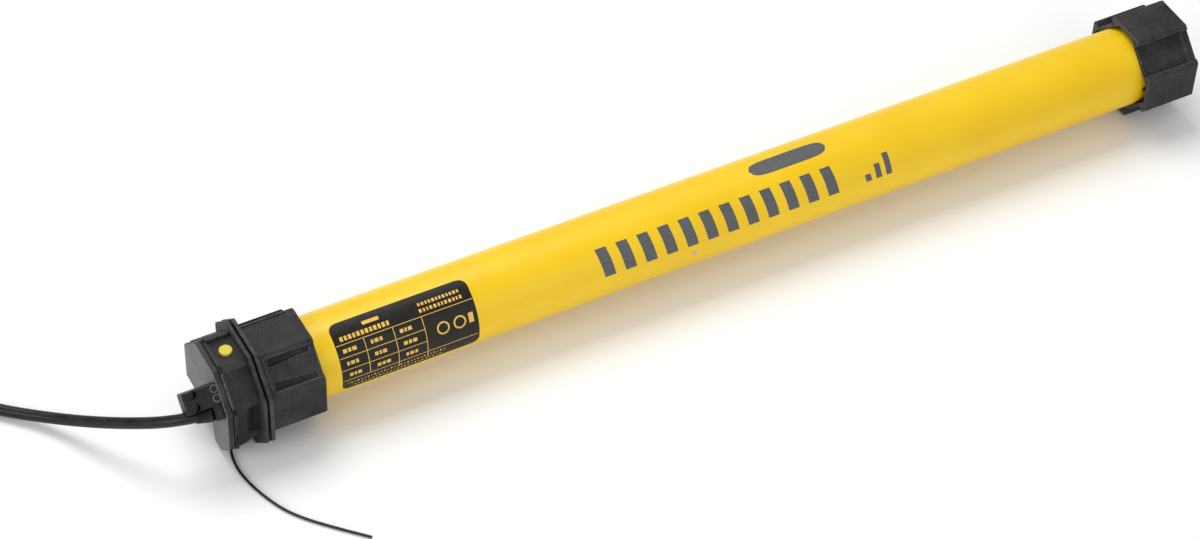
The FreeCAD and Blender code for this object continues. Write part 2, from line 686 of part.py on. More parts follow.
def brake_magnet():
    """Steel pot with a ring groove for the coil and a centre bore for the spring."""
    pot = ring(X_BRAKE - 1.5, X_BRAKE + POT_LENGTH, TUBE_BORE, ROTOR_SHAFT_R + 0.6)
    groove = ring(X_BRAKE + 6.0, X_BRAKE + POT_LENGTH + 1, 17.5, 11.5)
    bore = disc(X_BRAKE + 8.0, X_BRAKE + POT_LENGTH + 1, 8.6)
    return pot.cut(groove).cut(bore)


def brake_coil():
    return ring(X_BRAKE + 6.3, X_BRAKE + POT_LENGTH - 0.6, 17.3, 11.7)


def brake_spring():
    start = X_BRAKE + 8.8
    return coil_spring(V(start, 0, 0), AXIS_X, 7.0, 0.7, X_ARMATURE - 0.75 - start, 4)


def brake_armature():
    plate = ring(X_ARMATURE, X_ARMATURE + ARMATURE_THICK, 20.2, ROTOR_SHAFT_R + 0.6)
    for angle in (0.0, 120.0, 240.0):
        plate = plate.cut(disc(X_ARMATURE - 1, X_ARMATURE + ARMATURE_THICK + 1, 1.5 + SLIDE_GAP,
                               *polar(18.6, angle)))
    return plate


def brake_guides():
    """Three spacer pins that the armature slides on, and that hold the counter plate."""
    return group([disc(X_BRAKE + POT_LENGTH, X_COUNTER, 1.5, *polar(18.6, a)) for a in (0.0, 120.0, 240.0)])


def brake_lining():
    return ring(X_LINING, X_LINING + LINING_THICK, 16.4, ROTOR_SHAFT_R)


def counter_plate():
    return ring(X_COUNTER, X_GEARBOX, TUBE_BORE, ROTOR_SHAFT_R + 0.6)


# ---------------------------------------------------------------- gearbox
CARRIER_R = 17.3
X_PLANETS = []
X_PLATES = []
station = X_GEARBOX + 5.0
for face, plate in zip(STAGE_FACE, PLATE_THICK):
    X_PLANETS.append(station)
    X_PLATES.append(station + face + STAGE_GAP)
    station += face + STAGE_GAP + plate + 4.0
SUN_1_END = X_PLATES[0] - 0.4
X_SLEEVE_END = X_PLATES[2] + PLATE_THICK[2] + 2.0
SUN_STUB_R = 3.4


def gear_sleeve():
    return inner_gear(X_GEARBOX, X_SLEEVE_END, RING_TEETH, MODULE, TUBE_BORE, math.pi / RING_TEETH)


def sun_gear(stage):
    if stage == 0:
        gear = outer_gear(X_GEARBOX + 3.0, SUN_1_END, SUN_TEETH, MODULE)
        return gear.cut(disc(X_GEARBOX, SUN_1_END + 1, SUN_SHAFT_R))
    plate = X_PLATES[stage - 1]
    start = plate + PLATE_THICK[stage - 1]
    gear = outer_gear(start, X_PLATES[stage] - 0.4, SUN_TEETH, MODULE)
    return gear.fuse(disc(plate, start, SUN_STUB_R))


def planet_gear(stage, index):
    """Planet turned so that one of its tooth spaces faces the sun's tooth on the line of centres."""
    around = 2 * math.pi * index / PLANETS
    tooth = 2 * math.pi / PLANET_TEETH
    phase = around + math.pi - tooth * (0.5 - SUN_TEETH * around / (2 * math.pi))
    x0 = X_PLANETS[stage]
    gear = outer_gear(x0, x0 + STAGE_FACE[stage], PLANET_TEETH, MODULE, phase)
    gear = gear.cut(disc(x0 - 1, x0 + STAGE_FACE[stage] + 1, PIN_R + 0.03))
    gear.translate(V(0, CENTRE_DISTANCE * math.cos(around), CENTRE_DISTANCE * math.sin(around)))
    return gear


def carrier(stage):
    x0 = X_PLATES[stage]
    plate = disc(x0, x0 + PLATE_THICK[stage], CARRIER_R)
    pins = []
    for index in range(PLANETS):
        around = 2 * math.pi * index / PLANETS
        pins.append(disc(X_PLANETS[stage] - 0.5, x0, PIN_R, CENTRE_DISTANCE * math.cos(around),
                         CENTRE_DISTANCE * math.sin(around)))
    body = plate.fuse(pins)
    if stage < 2:
        return body.cut(disc(x0 - 1, x0 + PLATE_THICK[stage] + 1, SUN_STUB_R))
    shaft = disc(x0 + PLATE_THICK[stage], X_OUTPUT_END, OUTPUT_R)
    for side in (0.0, 180.0):
        shaft = shaft.cut(block(X_TUBE_END + 3.0, X_OUTPUT_END + 1, OUTPUT_FLAT, 20, -20, 20, side))
    shaft = shaft.cut(disc(X_OUTPUT_END - 14.0, X_OUTPUT_END + 1, 2.5))
    return body.fuse(shaft)


X_OUTPUT_END = X_END - 6.0
OUTPUT_BUSH_R = 10.0
OUTPUT_BUSH_LENGTH = 24.0


def gearbox_cover():
    """Heavy end block of the gearbox, riveted into the tube's end, that carries the output bush."""
    body = disc(X_SLEEVE_END, X_TUBE_END, TUBE_BORE)
    body = body.cut(disc(X_SLEEVE_END - 1, X_TUBE_END + 1, OUTPUT_R + 0.5))
    body = body.cut(disc(X_TUBE_END - OUTPUT_BUSH_LENGTH, X_TUBE_END + 1, OUTPUT_BUSH_R))
    return body.cut(rivet_holes())


def output_bush():
    return ring(X_TUBE_END - OUTPUT_BUSH_LENGTH, X_TUBE_END, OUTPUT_BUSH_R, OUTPUT_R + TURN_GAP)


# ---------------------------------------------------------------- drive wheel
WHEEL_WALL = 2.2
WHEEL_POCKET = 3.4
WHEEL_RIDGE = 2.6
WHEEL_LIP = 5.0
WHEEL_PLATE = 4.0
HUB_R = 12.0


def drive_wheel():
    half = ADAPTER_AF / 2
    flat = 2 * half * math.tan(math.pi / 8)
    shell = along_x(octagon(X_WHEEL, X_END, ADAPTER_AF), 0.8)
    inside = facets([half - WHEEL_WALL, half - WHEEL_WALL - WHEEL_POCKET] * 4)
    shell = shell.cut(prism(X_WHEEL - 1, X_END - WHEEL_PLATE, inside))
    wide = flat / 2 - WHEEL_RIDGE
    for angle in (45.0, 135.0, 225.0, 315.0):
        pocket = block(X_WHEEL - 1, X_END - WHEEL_LIP, half - WHEEL_POCKET, half + 3, -wide, wide, angle)
        shell = shell.cut(pocket)
        shell = shell.cut(block(X_END - WHEEL_LIP - 1, X_END + 1, half - 1.4, half + 3, -wide, wide, angle))
    hub = disc(X_TUBE_END + 3.0, X_END - 1, HUB_R)
    reach = half - WHEEL_WALL - WHEEL_POCKET + 1.0
    ribs = [block(X_TUBE_END + 3.0, X_END - 1, HUB_R - 1, reach, -1.0, 1.0, 45.0 * i) for i in range(8)]
    body = shell.fuse([hub] + ribs)
    bore = disc(X_TUBE_END, X_OUTPUT_END, OUTPUT_R + 0.02)
    for side in (0.0, 180.0):
        bore = bore.cut(block(X_TUBE_END - 1, X_OUTPUT_END + 1, OUTPUT_FLAT + 0.02, 20, -20, 20, side))
    body = body.cut(bore)
    body = body.cut(disc(X_OUTPUT_END - 1, X_END + 1, 3.0))
    return body.cut(disc(X_END - 3.0, X_END + 1, 6.0))


def wheel_screw():
    head = disc(X_END - 3.0, X_END - 0.4, 4.6)
    socket = prism(X_END - 2.2, X_END + 1, [polar(2.3, 60.0 * i) for i in range(6)])
    return head.fuse(disc(X_OUTPUT_END - 12.0, X_END - 3.0, 2.5)).cut(socket)


# ---------------------------------------------------------------- cable and aerial
CABLE_Z = FLOOR + CABLE_R
COIL_X = -443.0
COIL_Y = 64.0
COIL_OUTER = 48.2
COIL_INNER = 22.6
COIL_HEIGHT = 12.4
TAIL_END_X = -483.0
TAIL_END_Y = 3.0
ANTENNA_ANGLE = 242.0
ANTENNA_EXIT = (X_SEAM + 2.6, -13.0, -26.6)
WIRE_Z = FLOOR + WIRE_R


def cable_route():
    """From the plug's root, down to the floor and away from the viewer, into the coil."""
    y, z = cable_axis()
    return [(X_FRONT - 5.0, y, z), (X_FRONT - 16.4, y + 3.4, z - 1.4), (-316.8, -10.9, 3.2),
            (-326.7, -0.3, -3.5), (-343.0, 19.0, -14.0), (-361.0, 42.0, -24.5), (-382.0, 62.0, CABLE_Z),
            (-396.5, 77.0, CABLE_Z), (-408.5, 93.0, CABLE_Z), (-417.0, 101.0, CABLE_Z)]


TAIL_ROUTE = [(-484.5, 62.0, CABLE_Z + 5.6), (-487.0, 48.0, CABLE_Z + 5.6), (-489.0, 33.0, CABLE_Z + 1.6),
              (-487.5, 18.0, CABLE_Z), (TAIL_END_X, TAIL_END_Y, CABLE_Z)]
ANTENNA_ROUTE = [ANTENNA_EXIT, (-285.4, -16.0, WIRE_Z), (-286.8, -22.0, WIRE_Z), (-287.3, -31.0, WIRE_Z),
                 (-285.4, -42.5, WIRE_Z), (-281.8, -54.0, WIRE_Z), (-277.4, -64.5, WIRE_Z),
                 (-271.0, -74.0, WIRE_Z), (-262.5, -83.5, WIRE_Z), (-253.5, -92.8, WIRE_Z),
                 (-245.2, -101.1, WIRE_Z)]


def mains_cable():
    """The run from the plug to the coil, and the short tail from the coil to the stripped end."""
    return group([cord(cable_route(), CABLE_R), cord(TAIL_ROUTE, CABLE_R)])


def cable_coil():
    return ring(0, COIL_HEIGHT, COIL_OUTER, COIL_INNER).rotated(ORIGIN, V(0, 1, 0), -90).translated(
        V(COIL_X, COIL_Y, FLOOR))


def cable_conductors():
    """Three insulated wires out of the cable's stripped end, for the terminals of a junction box."""
    wires = []
    ahead = (V(*TAIL_ROUTE[-1]) - V(*TAIL_ROUTE[-2])).normalize()
    for k, angle in ((-1, 210.0), (0, 90.0), (1, 330.0)):
        dx, dz = polar(1.4, angle)
        start = V(TAIL_END_X + dx, TAIL_END_Y, CABLE_Z + dz) + ahead * abs(dx)
        second = start + ahead * 8.0
        low = FLOOR + CONDUCTOR_R
        wires.append(cord([tuple(start), tuple(second),
                           (second.x + 2.5 + 3.0 * k, second.y - 9.0, low + 0.3),
                           (second.x + 3.5 + 6.0 * k, second.y - 19.0, low),
                           (second.x + 3.5 + 8.0 * k, second.y - 29.0 + 2.0 * k, low)], CONDUCTOR_R))
    return group(wires)


def antenna_wire():
    return cord(ANTENNA_ROUTE, WIRE_R)


def main():
    save("motor_tube", motor_tube())
    save("tube_rivets", tube_rivets())
    save("rating_label", rating_label())
    save("head_body", head_body())
    save("head_front_cover", head_front_cover())
    save("set_button", set_button())
    save("button_spring", button_spring())
    save("button_switch", button_switch())
    save("cable_socket", cable_socket())
    save("cable_plug", cable_plug())
    save("plug_screws", plug_screws())
    save("plug_contacts", plug_contacts())
    save("cable_gland", cable_gland())
    save("crown", crown())
    save("crown_gear", crown_gear())
    save("limit_pinion", limit_pinion())
    save("control_board", control_board())
    save("board_components", board_components())
    save("run_capacitor", run_capacitor())
    save("capacitor_strap", capacitor_strap())
    save("inner_leads", inner_leads())
    save("stator_core", stator_core())
    save("stator_windings", stator_windings())
    save("rear_end_shield", rear_end_shield())
    save("front_end_shield", front_end_shield())
    save("rotor_bushes", rotor_bushes())
    save("rotor_core", rotor_core())
    save("rotor_cage", rotor_cage())
    save("rotor_shaft", rotor_shaft())
    save("brake_magnet", brake_magnet())
    save("brake_coil", brake_coil())
    save("brake_spring", brake_spring())
    save("brake_armature", brake_armature())
    save("brake_guides", brake_guides())
    save("brake_lining", brake_lining())
    save("counter_plate", counter_plate())
    save("gear_sleeve", gear_sleeve())
    for stage in range(3):
        save("sun_gear_%d" % (stage + 1), sun_gear(stage))
        save("planet_carrier_%d" % (stage + 1), carrier(stage))
        for index in range(PLANETS):
            save("planet_gear_%d%s" % (stage + 1, "abc"[index]), planet_gear(stage, index))
    save("gearbox_cover", gearbox_cover())
    save("output_bush", output_bush())
    save("drive_wheel", drive_wheel())
    save("wheel_screw", wheel_screw())
    save("mains_cable", mains_cable())
    save("cable_coil", cable_coil())
    save("cable_conductors", cable_conductors())
    save("antenna_wire", antenna_wire())


main()
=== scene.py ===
import json
import math

import bmesh
import bpy
import numpy as np
from mathutils import Matrix, Vector


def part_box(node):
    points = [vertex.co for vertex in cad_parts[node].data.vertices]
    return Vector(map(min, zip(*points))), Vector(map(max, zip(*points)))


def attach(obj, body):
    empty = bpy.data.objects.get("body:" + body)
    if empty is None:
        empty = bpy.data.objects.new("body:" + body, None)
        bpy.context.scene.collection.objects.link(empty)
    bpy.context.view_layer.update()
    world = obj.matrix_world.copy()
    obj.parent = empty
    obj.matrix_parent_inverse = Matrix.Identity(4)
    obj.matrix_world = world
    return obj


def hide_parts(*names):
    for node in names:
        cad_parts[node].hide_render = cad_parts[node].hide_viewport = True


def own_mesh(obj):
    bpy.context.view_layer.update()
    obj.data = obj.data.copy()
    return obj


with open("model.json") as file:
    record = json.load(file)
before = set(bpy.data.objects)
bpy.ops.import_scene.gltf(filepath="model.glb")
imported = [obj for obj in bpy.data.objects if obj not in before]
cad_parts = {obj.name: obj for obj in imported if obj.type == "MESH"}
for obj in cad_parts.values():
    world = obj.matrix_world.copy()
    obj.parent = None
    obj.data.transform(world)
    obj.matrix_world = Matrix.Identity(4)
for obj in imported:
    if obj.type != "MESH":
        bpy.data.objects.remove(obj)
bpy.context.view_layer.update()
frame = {"nodes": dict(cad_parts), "record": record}

# Looks of a tubular roller shutter motor. Sizes are in millimetres, measured from the drive axis: X runs
# along it, and (y, z) are across it. make_piece() turns them into metres and lifts them to the axis.
# Angles about the axis are measured from +Y towards +Z, in degrees.
MM = 0.001


def low(node):
    return np.array(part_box(node)[0]) / MM


def high(node):
    return np.array(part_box(node)[1]) / MM


AXIS = (low("motor_tube")[2] + high("motor_tube")[2]) / 2
TUBE_R = (high("motor_tube")[2] - low("motor_tube")[2]) / 2
X_PLUG = low("cable_plug")[0]
X_FRONT = low("head_front_cover")[0]
X_SEAM = low("head_body")[0]
X_RIM, X_CROWN_END = low("crown")[0], high("crown")[0]
X_WHEEL, X_END = low("drive_wheel")[0], high("drive_wheel")[0]
X_TUBE, X_TUBE_END = low("motor_tube")[0], high("motor_tube")[0]
FLANGE_HALF = AXIS
WHEEL_HALF = high("drive_wheel")[2] - AXIS
HEAD_HALF = WHEEL_HALF + 0.2
OUTER_CORNER = 2.4
X_FLANGE = X_SEAM + 15.4
X_COLLAR = X_FLANGE + 1.9
X_CROWN = X_RIM + 2.0
TWO_PI = 2 * math.pi
SHARP_DEGREES = 32.0
DIAGONALS = (45.0, 135.0, 225.0, 315.0)


# ---------------------------------------------------------------- surfaces
def placed(name, data):
    """A new object in the scene."""
    piece = bpy.data.objects.new(name, data)
    bpy.context.scene.collection.objects.link(piece)
    return piece


def compass(degrees):
    """Cosine and sine of an angle in degrees."""
    return math.cos(math.radians(degrees)), math.sin(math.radians(degrees))


def rays(angles):
    """Unit vectors at angles in radians."""
    return np.stack([np.cos(angles), np.sin(angles)], -1)


def make_piece(name, shells, material, body, stands_for=()):
    """One object from closed shells. Each shell is (points in mm, faces); a shell whose signed volume is
    negative has its faces turned round, so that they all point outwards."""
    points, faces, base = [], [], 0
    for shell_points, shell_faces in shells:
        if signed_volume(shell_points, shell_faces) < 0:
            shell_faces = [face[::-1] for face in shell_faces]
        points.append(shell_points)
        faces += [tuple(i + base for i in face) for face in shell_faces]
        base += len(shell_points)
    spread = (np.vstack(points) + (0.0, 0.0, AXIS)) * MM
    mesh = bpy.data.meshes.new(name)
    mesh.from_pydata(spread.tolist(), [], faces)
    mesh.update()
    mark_edges(mesh)
    mesh.shade_smooth()
    mesh.set_sharp_from_angle(angle=math.radians(SHARP_DEGREES))
    return dress(placed(name, mesh), material, body, stands_for)


def mark_edges(mesh):
    """Point attribute "edge": 0 on flats and gentle curves, 1 where a convex edge turns by 17 degrees or
    more. An edge is convex where the second face's centre lies below the first face's plane."""
    count = len(mesh.loops)
    edge_of, vertex_of = np.empty(count, int), np.empty(count, int)
    mesh.loops.foreach_get("edge_index", edge_of)
    mesh.loops.foreach_get("vertex_index", vertex_of)
    sizes = np.empty(len(mesh.polygons), int)
    normals, centres = np.empty((2, len(mesh.polygons), 3))
    mesh.polygons.foreach_get("loop_total", sizes)
    mesh.polygons.foreach_get("normal", normals.reshape(-1))
    mesh.polygons.foreach_get("center", centres.reshape(-1))
    face_of = np.repeat(np.arange(len(sizes)), sizes)[np.argsort(edge_of, kind="stable")]
    ends = np.empty((len(mesh.edges), 2), int)
    mesh.edges.foreach_get("vertices", ends.reshape(-1))
    first, second = face_of[0::2], face_of[1::2]
    turn = np.arccos(np.clip(np.einsum("ij,ij->i", normals[first], normals[second]), -1, 1))
    below = np.einsum("ij,ij->i", centres[second] - centres[first], normals[first]) < 0
    # Weight of each convex edge, which the plastics use to lighten their edges as rubbed wear and as painted
    # highlight.
    edge_wear_highlight_mask = np.clip((turn - 0.12) / 0.18, 0, 1) * below
    at_point = np.zeros(len(mesh.vertices))
    np.maximum.at(at_point, ends[:, 0], edge_wear_highlight_mask)
    np.maximum.at(at_point, ends[:, 1], edge_wear_highlight_mask)
    mesh.attributes.new("edge", "FLOAT", "POINT").data.foreach_set("value", at_point)


def dress(piece, material, body, stands_for=()):
    """Gives a piece its material, the body it rides on and the nodes that it stands for."""
    piece.data.materials.append(material)
    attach(piece, body)
    if stands_for:
        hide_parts(*stands_for)
    return piece


def signed_volume(points, faces):
    """A sixth of the sum of p0 . (p1 x p2) over the triangles that fan out from each face's first point."""
    triangles = np.array([(face[0], face[i], face[i + 1])
                          for face in faces for i in range(1, len(face) - 1)])
    a, b, c = (points[triangles[:, i]] for i in range(3))
    return float(np.einsum("ij,ij->i", a, np.cross(b, c)).sum()) / 6


def skin(rows, loop=False, centre=None):
    """Shell over rows of points (rows, around, 3) that close on themselves around. The last row is joined to
    the first in a loop, and otherwise each end row is closed by a fan to its middle or to a centre."""
    count, around = rows.shape[:2]
    index = np.arange(count * around).reshape(count, around)
    after = np.roll(index, -1, axis=1)
    if loop:
        below = np.roll(index, -1, axis=0)
        quads = np.stack([index, after, np.roll(after, -1, axis=0), below], -1).reshape(-1, 4)
        return rows.reshape(-1, 3), quads.tolist()
    quads = np.stack([index[:-1], after[:-1], after[1:], index[1:]], -1).reshape(-1, 4).tolist()
    first, last = count * around, count * around + 1
    quads += np.stack([after[0], index[0], np.full(around, first)], -1).tolist()
    quads += np.stack([index[-1], after[-1], np.full(around, last)], -1).tolist()
    poles = np.array([rows[0].mean(0), rows[-1].mean(0)])
    if centre:
        poles[:, 1:] = centre
    return np.vstack([rows.reshape(-1, 3), poles]), quads


def facets(distances):
    """Corners of an eight-sided outline from the distance of each flat to the axis, +Y flat first."""
    near = np.array(distances, float)
    after = np.roll(near, -1)
    a = np.radians(45.0 * np.arange(8))
    b = a + math.radians(45)
    across = math.sin(math.radians(45))
    return np.stack([(near * np.sin(b) - after * np.sin(a)) / across,
                     (after * np.cos(a) - near * np.cos(b)) / across], -1)


def rounded(corners, radius, steps=4, marks=()):
    """Outline with its corners rounded: at each corner the outward normal turns evenly from one side's to the
    next, and the point is the arc's centre plus the radius along it. Marks, from 0 to 1, add points along
    each side. Returns the points and their outward normals."""
    corners = np.array(corners, float)
    ahead = np.roll(corners, -1, axis=0) - corners
    ahead /= np.linalg.norm(ahead, axis=1)[:, None]
    heading = np.arctan2(ahead[:, 1], ahead[:, 0]) - math.pi / 2
    before = np.roll(heading, 1)
    turn = (heading - before + math.pi) % TWO_PI - math.pi
    share = np.linspace(0, 1, steps + 1)
    angle = before[:, None] + turn[:, None] * share
    normals = rays(angle)
    side = np.sign(turn)[:, None, None] * radius
    both = normals[:, :1] + normals[:, -1:]
    centre = corners[:, None] - side * both / (1 + np.cos(turn))[:, None, None]
    arcs = centre + side * normals
    if len(marks):
        along = np.array(marks)[None, :, None]
        start, end = arcs[:, -1:], np.roll(arcs[:, :1], -1, axis=0)
        arcs = np.concatenate([arcs, start + (end - start) * along], axis=1)
        normals = np.concatenate([normals, np.repeat(normals[:, -1:], len(marks), axis=1)], axis=1)
    return arcs.reshape(-1, 2), normals.reshape(-1, 2)


def section(x, points):
    """One row at a station along the axis."""
    return np.column_stack([np.full(len(points), float(x)), points])


def extruded(outline, profile):
    """Rows that carry an outline along a profile of (x, inset) pairs: each row is the outline moved inwards
    along its normals."""
    points, normals = outline
    return np.array([section(x, points - inset * normals) for x, inset in profile])


def edge_profile(x0, x1, radius):
    """Profile of a slab with both edges rounded: a quarter circle of inset at each end."""
    turn = np.linspace(0, math.pi / 2, 4)
    inset = radius * (1 - np.sin(turn))
    reach = radius * (1 - np.cos(turn))
    first = [(x0 + r, i) for r, i in zip(reach, inset)]
    return first + [(x1 - r, i) for r, i in zip(reach[::-1], inset[::-1])]


def slab(outline, x0, x1, radius):
    return skin(extruded(outline, edge_profile(x0, x1, radius)))


def lathe(profile, count=64):
    """Ring round the X axis, from a closed profile of (x, radius) pairs."""
    angle = np.linspace(0, TWO_PI, count, endpoint=False)
    x, radius = np.array(profile, float).T
    return skin(np.stack([np.repeat(x[:, None], count, 1), radius[:, None] * np.cos(angle),
                          radius[:, None] * np.sin(angle)], -1), loop=True)


def brick(x, n, t, degrees=0.0, radius=0.2):
    """Box with rounded edges, from ranges along X, outwards at an angle and across it."""
    corners = [(n[0], t[0]), (n[1], t[0]), (n[1], t[1]), (n[0], t[1])]
    points, faces = slab(rounded(corners, radius, 2), x[0], x[1], radius)
    return turned(points, degrees), faces


def turned(points, degrees):
    """Points turned about the drive axis."""
    c, s = compass(degrees)
    return np.column_stack([points[:, 0], points[:, 1] * c - points[:, 2] * s,
                            points[:, 1] * s + points[:, 2] * c])


def smooth(low_end, high_end, value):
    """0 before low_end, 1 after high_end, and 3 s^2 - 2 s^3 between."""
    share = np.clip((value - low_end) / (high_end - low_end), 0, 1)
    return share * share * (3 - 2 * share)


def between(value, start, end, blend=0.3):
    """1 between start and end, falling to 0 over the blend outside them."""
    return smooth(start - blend, start, value) * (1 - smooth(end, end + blend, value))


def on_flat(rows, degrees):
    """Distance outwards at an angle, and across it, of every point of the rows."""
    c, s = compass(degrees)
    return rows[..., 1] * c + rows[..., 2] * s, rows[..., 2] * c - rows[..., 1] * s


def pushed(rows, degrees, depth):
    """Rows moved inwards from the side at an angle by a depth for each point."""
    out = rows.copy()
    for k, part in enumerate(compass(degrees), 1):
        out[..., k] -= depth * part
    return out


def wrapped(x0, x1, a0, a1, r0, r1, lean=0.0, parts=(2, 8)):
    """Closed block bent round the axis, from x0 to x1 and angle a0 to a1: x = x0 + u (x1 - x0) + lean v and
    angle = a0 + v (a1 - a0), on the radii r1 outside and r0 inside."""
    u, v = np.meshgrid(np.linspace(0, 1, parts[0]), np.linspace(0, 1, parts[1]), indexing="ij")
    x = x0 + u * (x1 - x0) + lean * v
    return bent_sheet(x, np.radians(a0 + v * (a1 - a0)), r0, r1)


def bent_sheet(x, angle, r0, r1):
    """Closed thin shell over a grid of stations and angles (radians), between two radii."""
    count, across = x.shape
    layers = [np.stack([x, r * np.cos(angle), r * np.sin(angle)], -1).reshape(-1, 3) for r in (r1, r0)]
    index = np.arange(count * across).reshape(count, across)
    quads = np.stack([index[:-1, :-1], index[1:, :-1], index[1:, 1:], index[:-1, 1:]], -1).reshape(-1, 4)
    border = np.concatenate([index[:-1, 0], index[-1, :-1], index[:0:-1, -1], index[0, :0:-1]])
    rim = np.stack([np.roll(border, -1), border, border + index.size, np.roll(border, -1) + index.size], -1)
    faces = quads.tolist() + (quads[:, ::-1] + index.size).tolist() + rim.tolist()
    return np.vstack(layers), faces


def rings(outlines, angles, centre=(0.0, 0.0)):
    """Closed outlines cut by the same rays from a centre, so that their rows join one to one: a ray in
    direction d meets the side from p to q at the distance (p - c) x (q - p) / d x (q - p)."""
    d = rays(angles)[:, None]
    cut = []
    for outline in outlines:
        p = outline - np.array(centre)
        side = np.roll(p, -1, axis=0) - p
        turn = d[..., 0] * side[:, 1] - d[..., 1] * side[:, 0]
        turn = np.where(np.abs(turn) < 1e-12, 1e-12, turn)
        reach = (p[:, 0] * side[:, 1] - p[:, 1] * side[:, 0]) / turn
        share = (p[:, 0] * d[..., 1] - p[:, 1] * d[..., 0]) / turn
        reach = np.where((share > -1e-6) & (share < 1 + 1e-6) & (reach > 0), reach, 0).max(axis=1)
        cut.append(d[:, 0] * reach[:, None] + centre)
    return cut


def shared_angles(outlines, centre=(0.0, 0.0), count=560):
    """Even angles round a centre, with the angles of every outline's corners added."""
    found = [np.linspace(-math.pi, math.pi, count, endpoint=False)]
    for outline in outlines:
        away = outline - np.array(centre)
        found.append(np.arctan2(away[:, 1], away[:, 0]))
    angles = np.unique(np.concatenate(found).round(5))
    return angles[np.append(np.diff(angles) > 1e-4, True)]


def inset(outline, depth):
    """An outline's points moved inwards along their normals."""
    points, normals = outline
    return points - depth * normals


def pointed(shell, start, direction):
    """A shell made along X from the origin, turned to a direction and moved to a start."""
    points, faces = shell
    turn = Vector((1, 0, 0)).rotation_difference(Vector(direction)).to_matrix()
    return points @ np.array(turn).T + np.array(start), faces


# ---------------------------------------------------------------- materials
class Finish:
    """A material being made: its node tree, its Principled shader and the nodes that patterns need."""

    def __init__(self, name, roughness, metallic=0.0, **sockets):
        self.material = bpy.data.materials.new(name)
        self.material.use_nodes = True
        self.tree = self.material.node_tree
        self.shader = self.tree.nodes["Principled BSDF"]
        self.shader.inputs["Roughness"].default_value = roughness
        self.shader.inputs["Metallic"].default_value = metallic
        for socket, value in sockets.items():
            self.shader.inputs[socket.replace("_", " ")].default_value = value
        self.place = self.tree.nodes.new("ShaderNodeTexCoord").outputs["Object"]

    def node(self, kind, inputs, **settings):
        """A node with its settings made and its inputs set, each to a value or to another node's output."""
        made = self.tree.nodes.new(kind)
        for name, value in settings.items():
            setattr(made, name, value)
        for name, value in inputs.items():
            if isinstance(value, bpy.types.NodeSocket):
                self.tree.links.new(value, made.inputs[name])
            else:
                made.inputs[name].default_value = value
        return made

    def stretched(self, scale):
        """Object coordinates multiplied along each axis."""
        return self.node("ShaderNodeMapping", {"Vector": self.place, "Scale": scale}).outputs[0]

    def noise(self, scale, detail=3.0, place=None):
        """Fractal noise with the given number of bumps in a metre."""
        return self.node("ShaderNodeTexNoise", {"Vector": place or self.place, "Scale": scale,
                                                "Detail": detail}).outputs["Fac"]

    def cells(self, scale, place=None):
        """Distance to the nearest of scattered points."""
        return self.node("ShaderNodeTexVoronoi", {"Vector": place or self.place,
                                                  "Scale": scale}).outputs["Distance"]

    def bands(self, scale):
        """Sine bands across X, from 0 to 1."""
        return self.node("ShaderNodeTexWave", {"Vector": self.place, "Scale": scale},
                         bands_direction="X").outputs["Fac"]

    def ranged(self, value, low, high, out_low=0.0, out_high=1.0):
        return self.node("ShaderNodeMapRange", {"Value": value, "From Min": low, "From Max": high,
                                                "To Min": out_low, "To Max": out_high}).outputs[0]

    def sum(self, a, b, weight=1.0):
        """a + weight b."""
        return self.node("ShaderNodeMath", {0: b, 1: weight, 2: a}, operation="MULTIPLY_ADD").outputs[0]

    def product(self, a, b):
        return self.node("ShaderNodeMath", {0: a, 1: b}, operation="MULTIPLY").outputs[0]

    def blend(self, share, first, second):
        """Colour that goes from the first to the second as the share goes from 0 to 1."""
        return self.node("ShaderNodeMix", {0: share, 6: first, 7: second}, data_type="RGBA").outputs[2]

    def edges(self):
        """1 on the outer edges of a piece, from the attribute that make_piece gives it."""
        return self.node("ShaderNodeAttribute", {}, attribute_name="edge").outputs["Fac"]

    def colour(self, value):
        self.tree.links.new(value, self.shader.inputs["Base Color"])

    def roughness(self, value, low, high):
        """Roughness from low to high as a pattern goes from 0.3 to 0.7."""
        self.tree.links.new(self.ranged(value, 0.3, 0.7, low, high), self.shader.inputs["Roughness"])

    def bump(self, height, depth_mm, strength=1.0, over=None):
        """Raised pattern; returns the normal so that another can lie over it."""
        inputs = {"Height": height, "Distance": depth_mm * MM, "Strength": strength}
        if over:
            inputs["Normal"] = over
        normal = self.node("ShaderNodeBump", inputs).outputs[0]
        self.tree.links.new(normal, self.shader.inputs["Normal"])
        return normal


def shade(red, green, blue):
    """Linear colour from screen values of 0 to 255."""
    screen = np.array([red, green, blue]) / 255
    linear = np.where(screen <= 0.04045, screen / 12.92, ((screen + 0.055) / 1.055) ** 2.4)
    return (*linear.tolist(), 1.0)


def moulded(name, dark, light, rough, grain=0.03, specks=0.5, wear_highlight_share=0.5):
    """Moulded plastic: a spark-eroded grain, pale fibre specks, a cloudy sheen, and convex edges lightened
    both as rubbed wear and as painted highlight.
    """
    finish = Finish(name, rough, Specular_IOR_Level=0.26)
    cloud = finish.noise(60, 4)
    fine = finish.noise(1500, 2)
    pits = finish.cells(1200)
    tint = finish.sum(finish.ranged(cloud, 0.35, 0.65, 0.0, 0.35), finish.ranged(fine, 0.56, 0.72), specks)
    # Patchy lightening of convex edges: partly rubbed wear, partly painted highlight.
    edge_wear_highlight_mask = finish.product(finish.edges(), finish.ranged(finish.noise(240, 3), 0.3, 0.65, 0.25, 1.0))
    finish.colour(finish.blend(finish.sum(tint, edge_wear_highlight_mask, wear_highlight_share), dark, light))
    finish.roughness(finish.sum(cloud, fine, 0.3), rough - 0.07, rough + 0.1)
    finish.bump(finish.sum(fine, pits, 0.6), grain)
    return finish.material


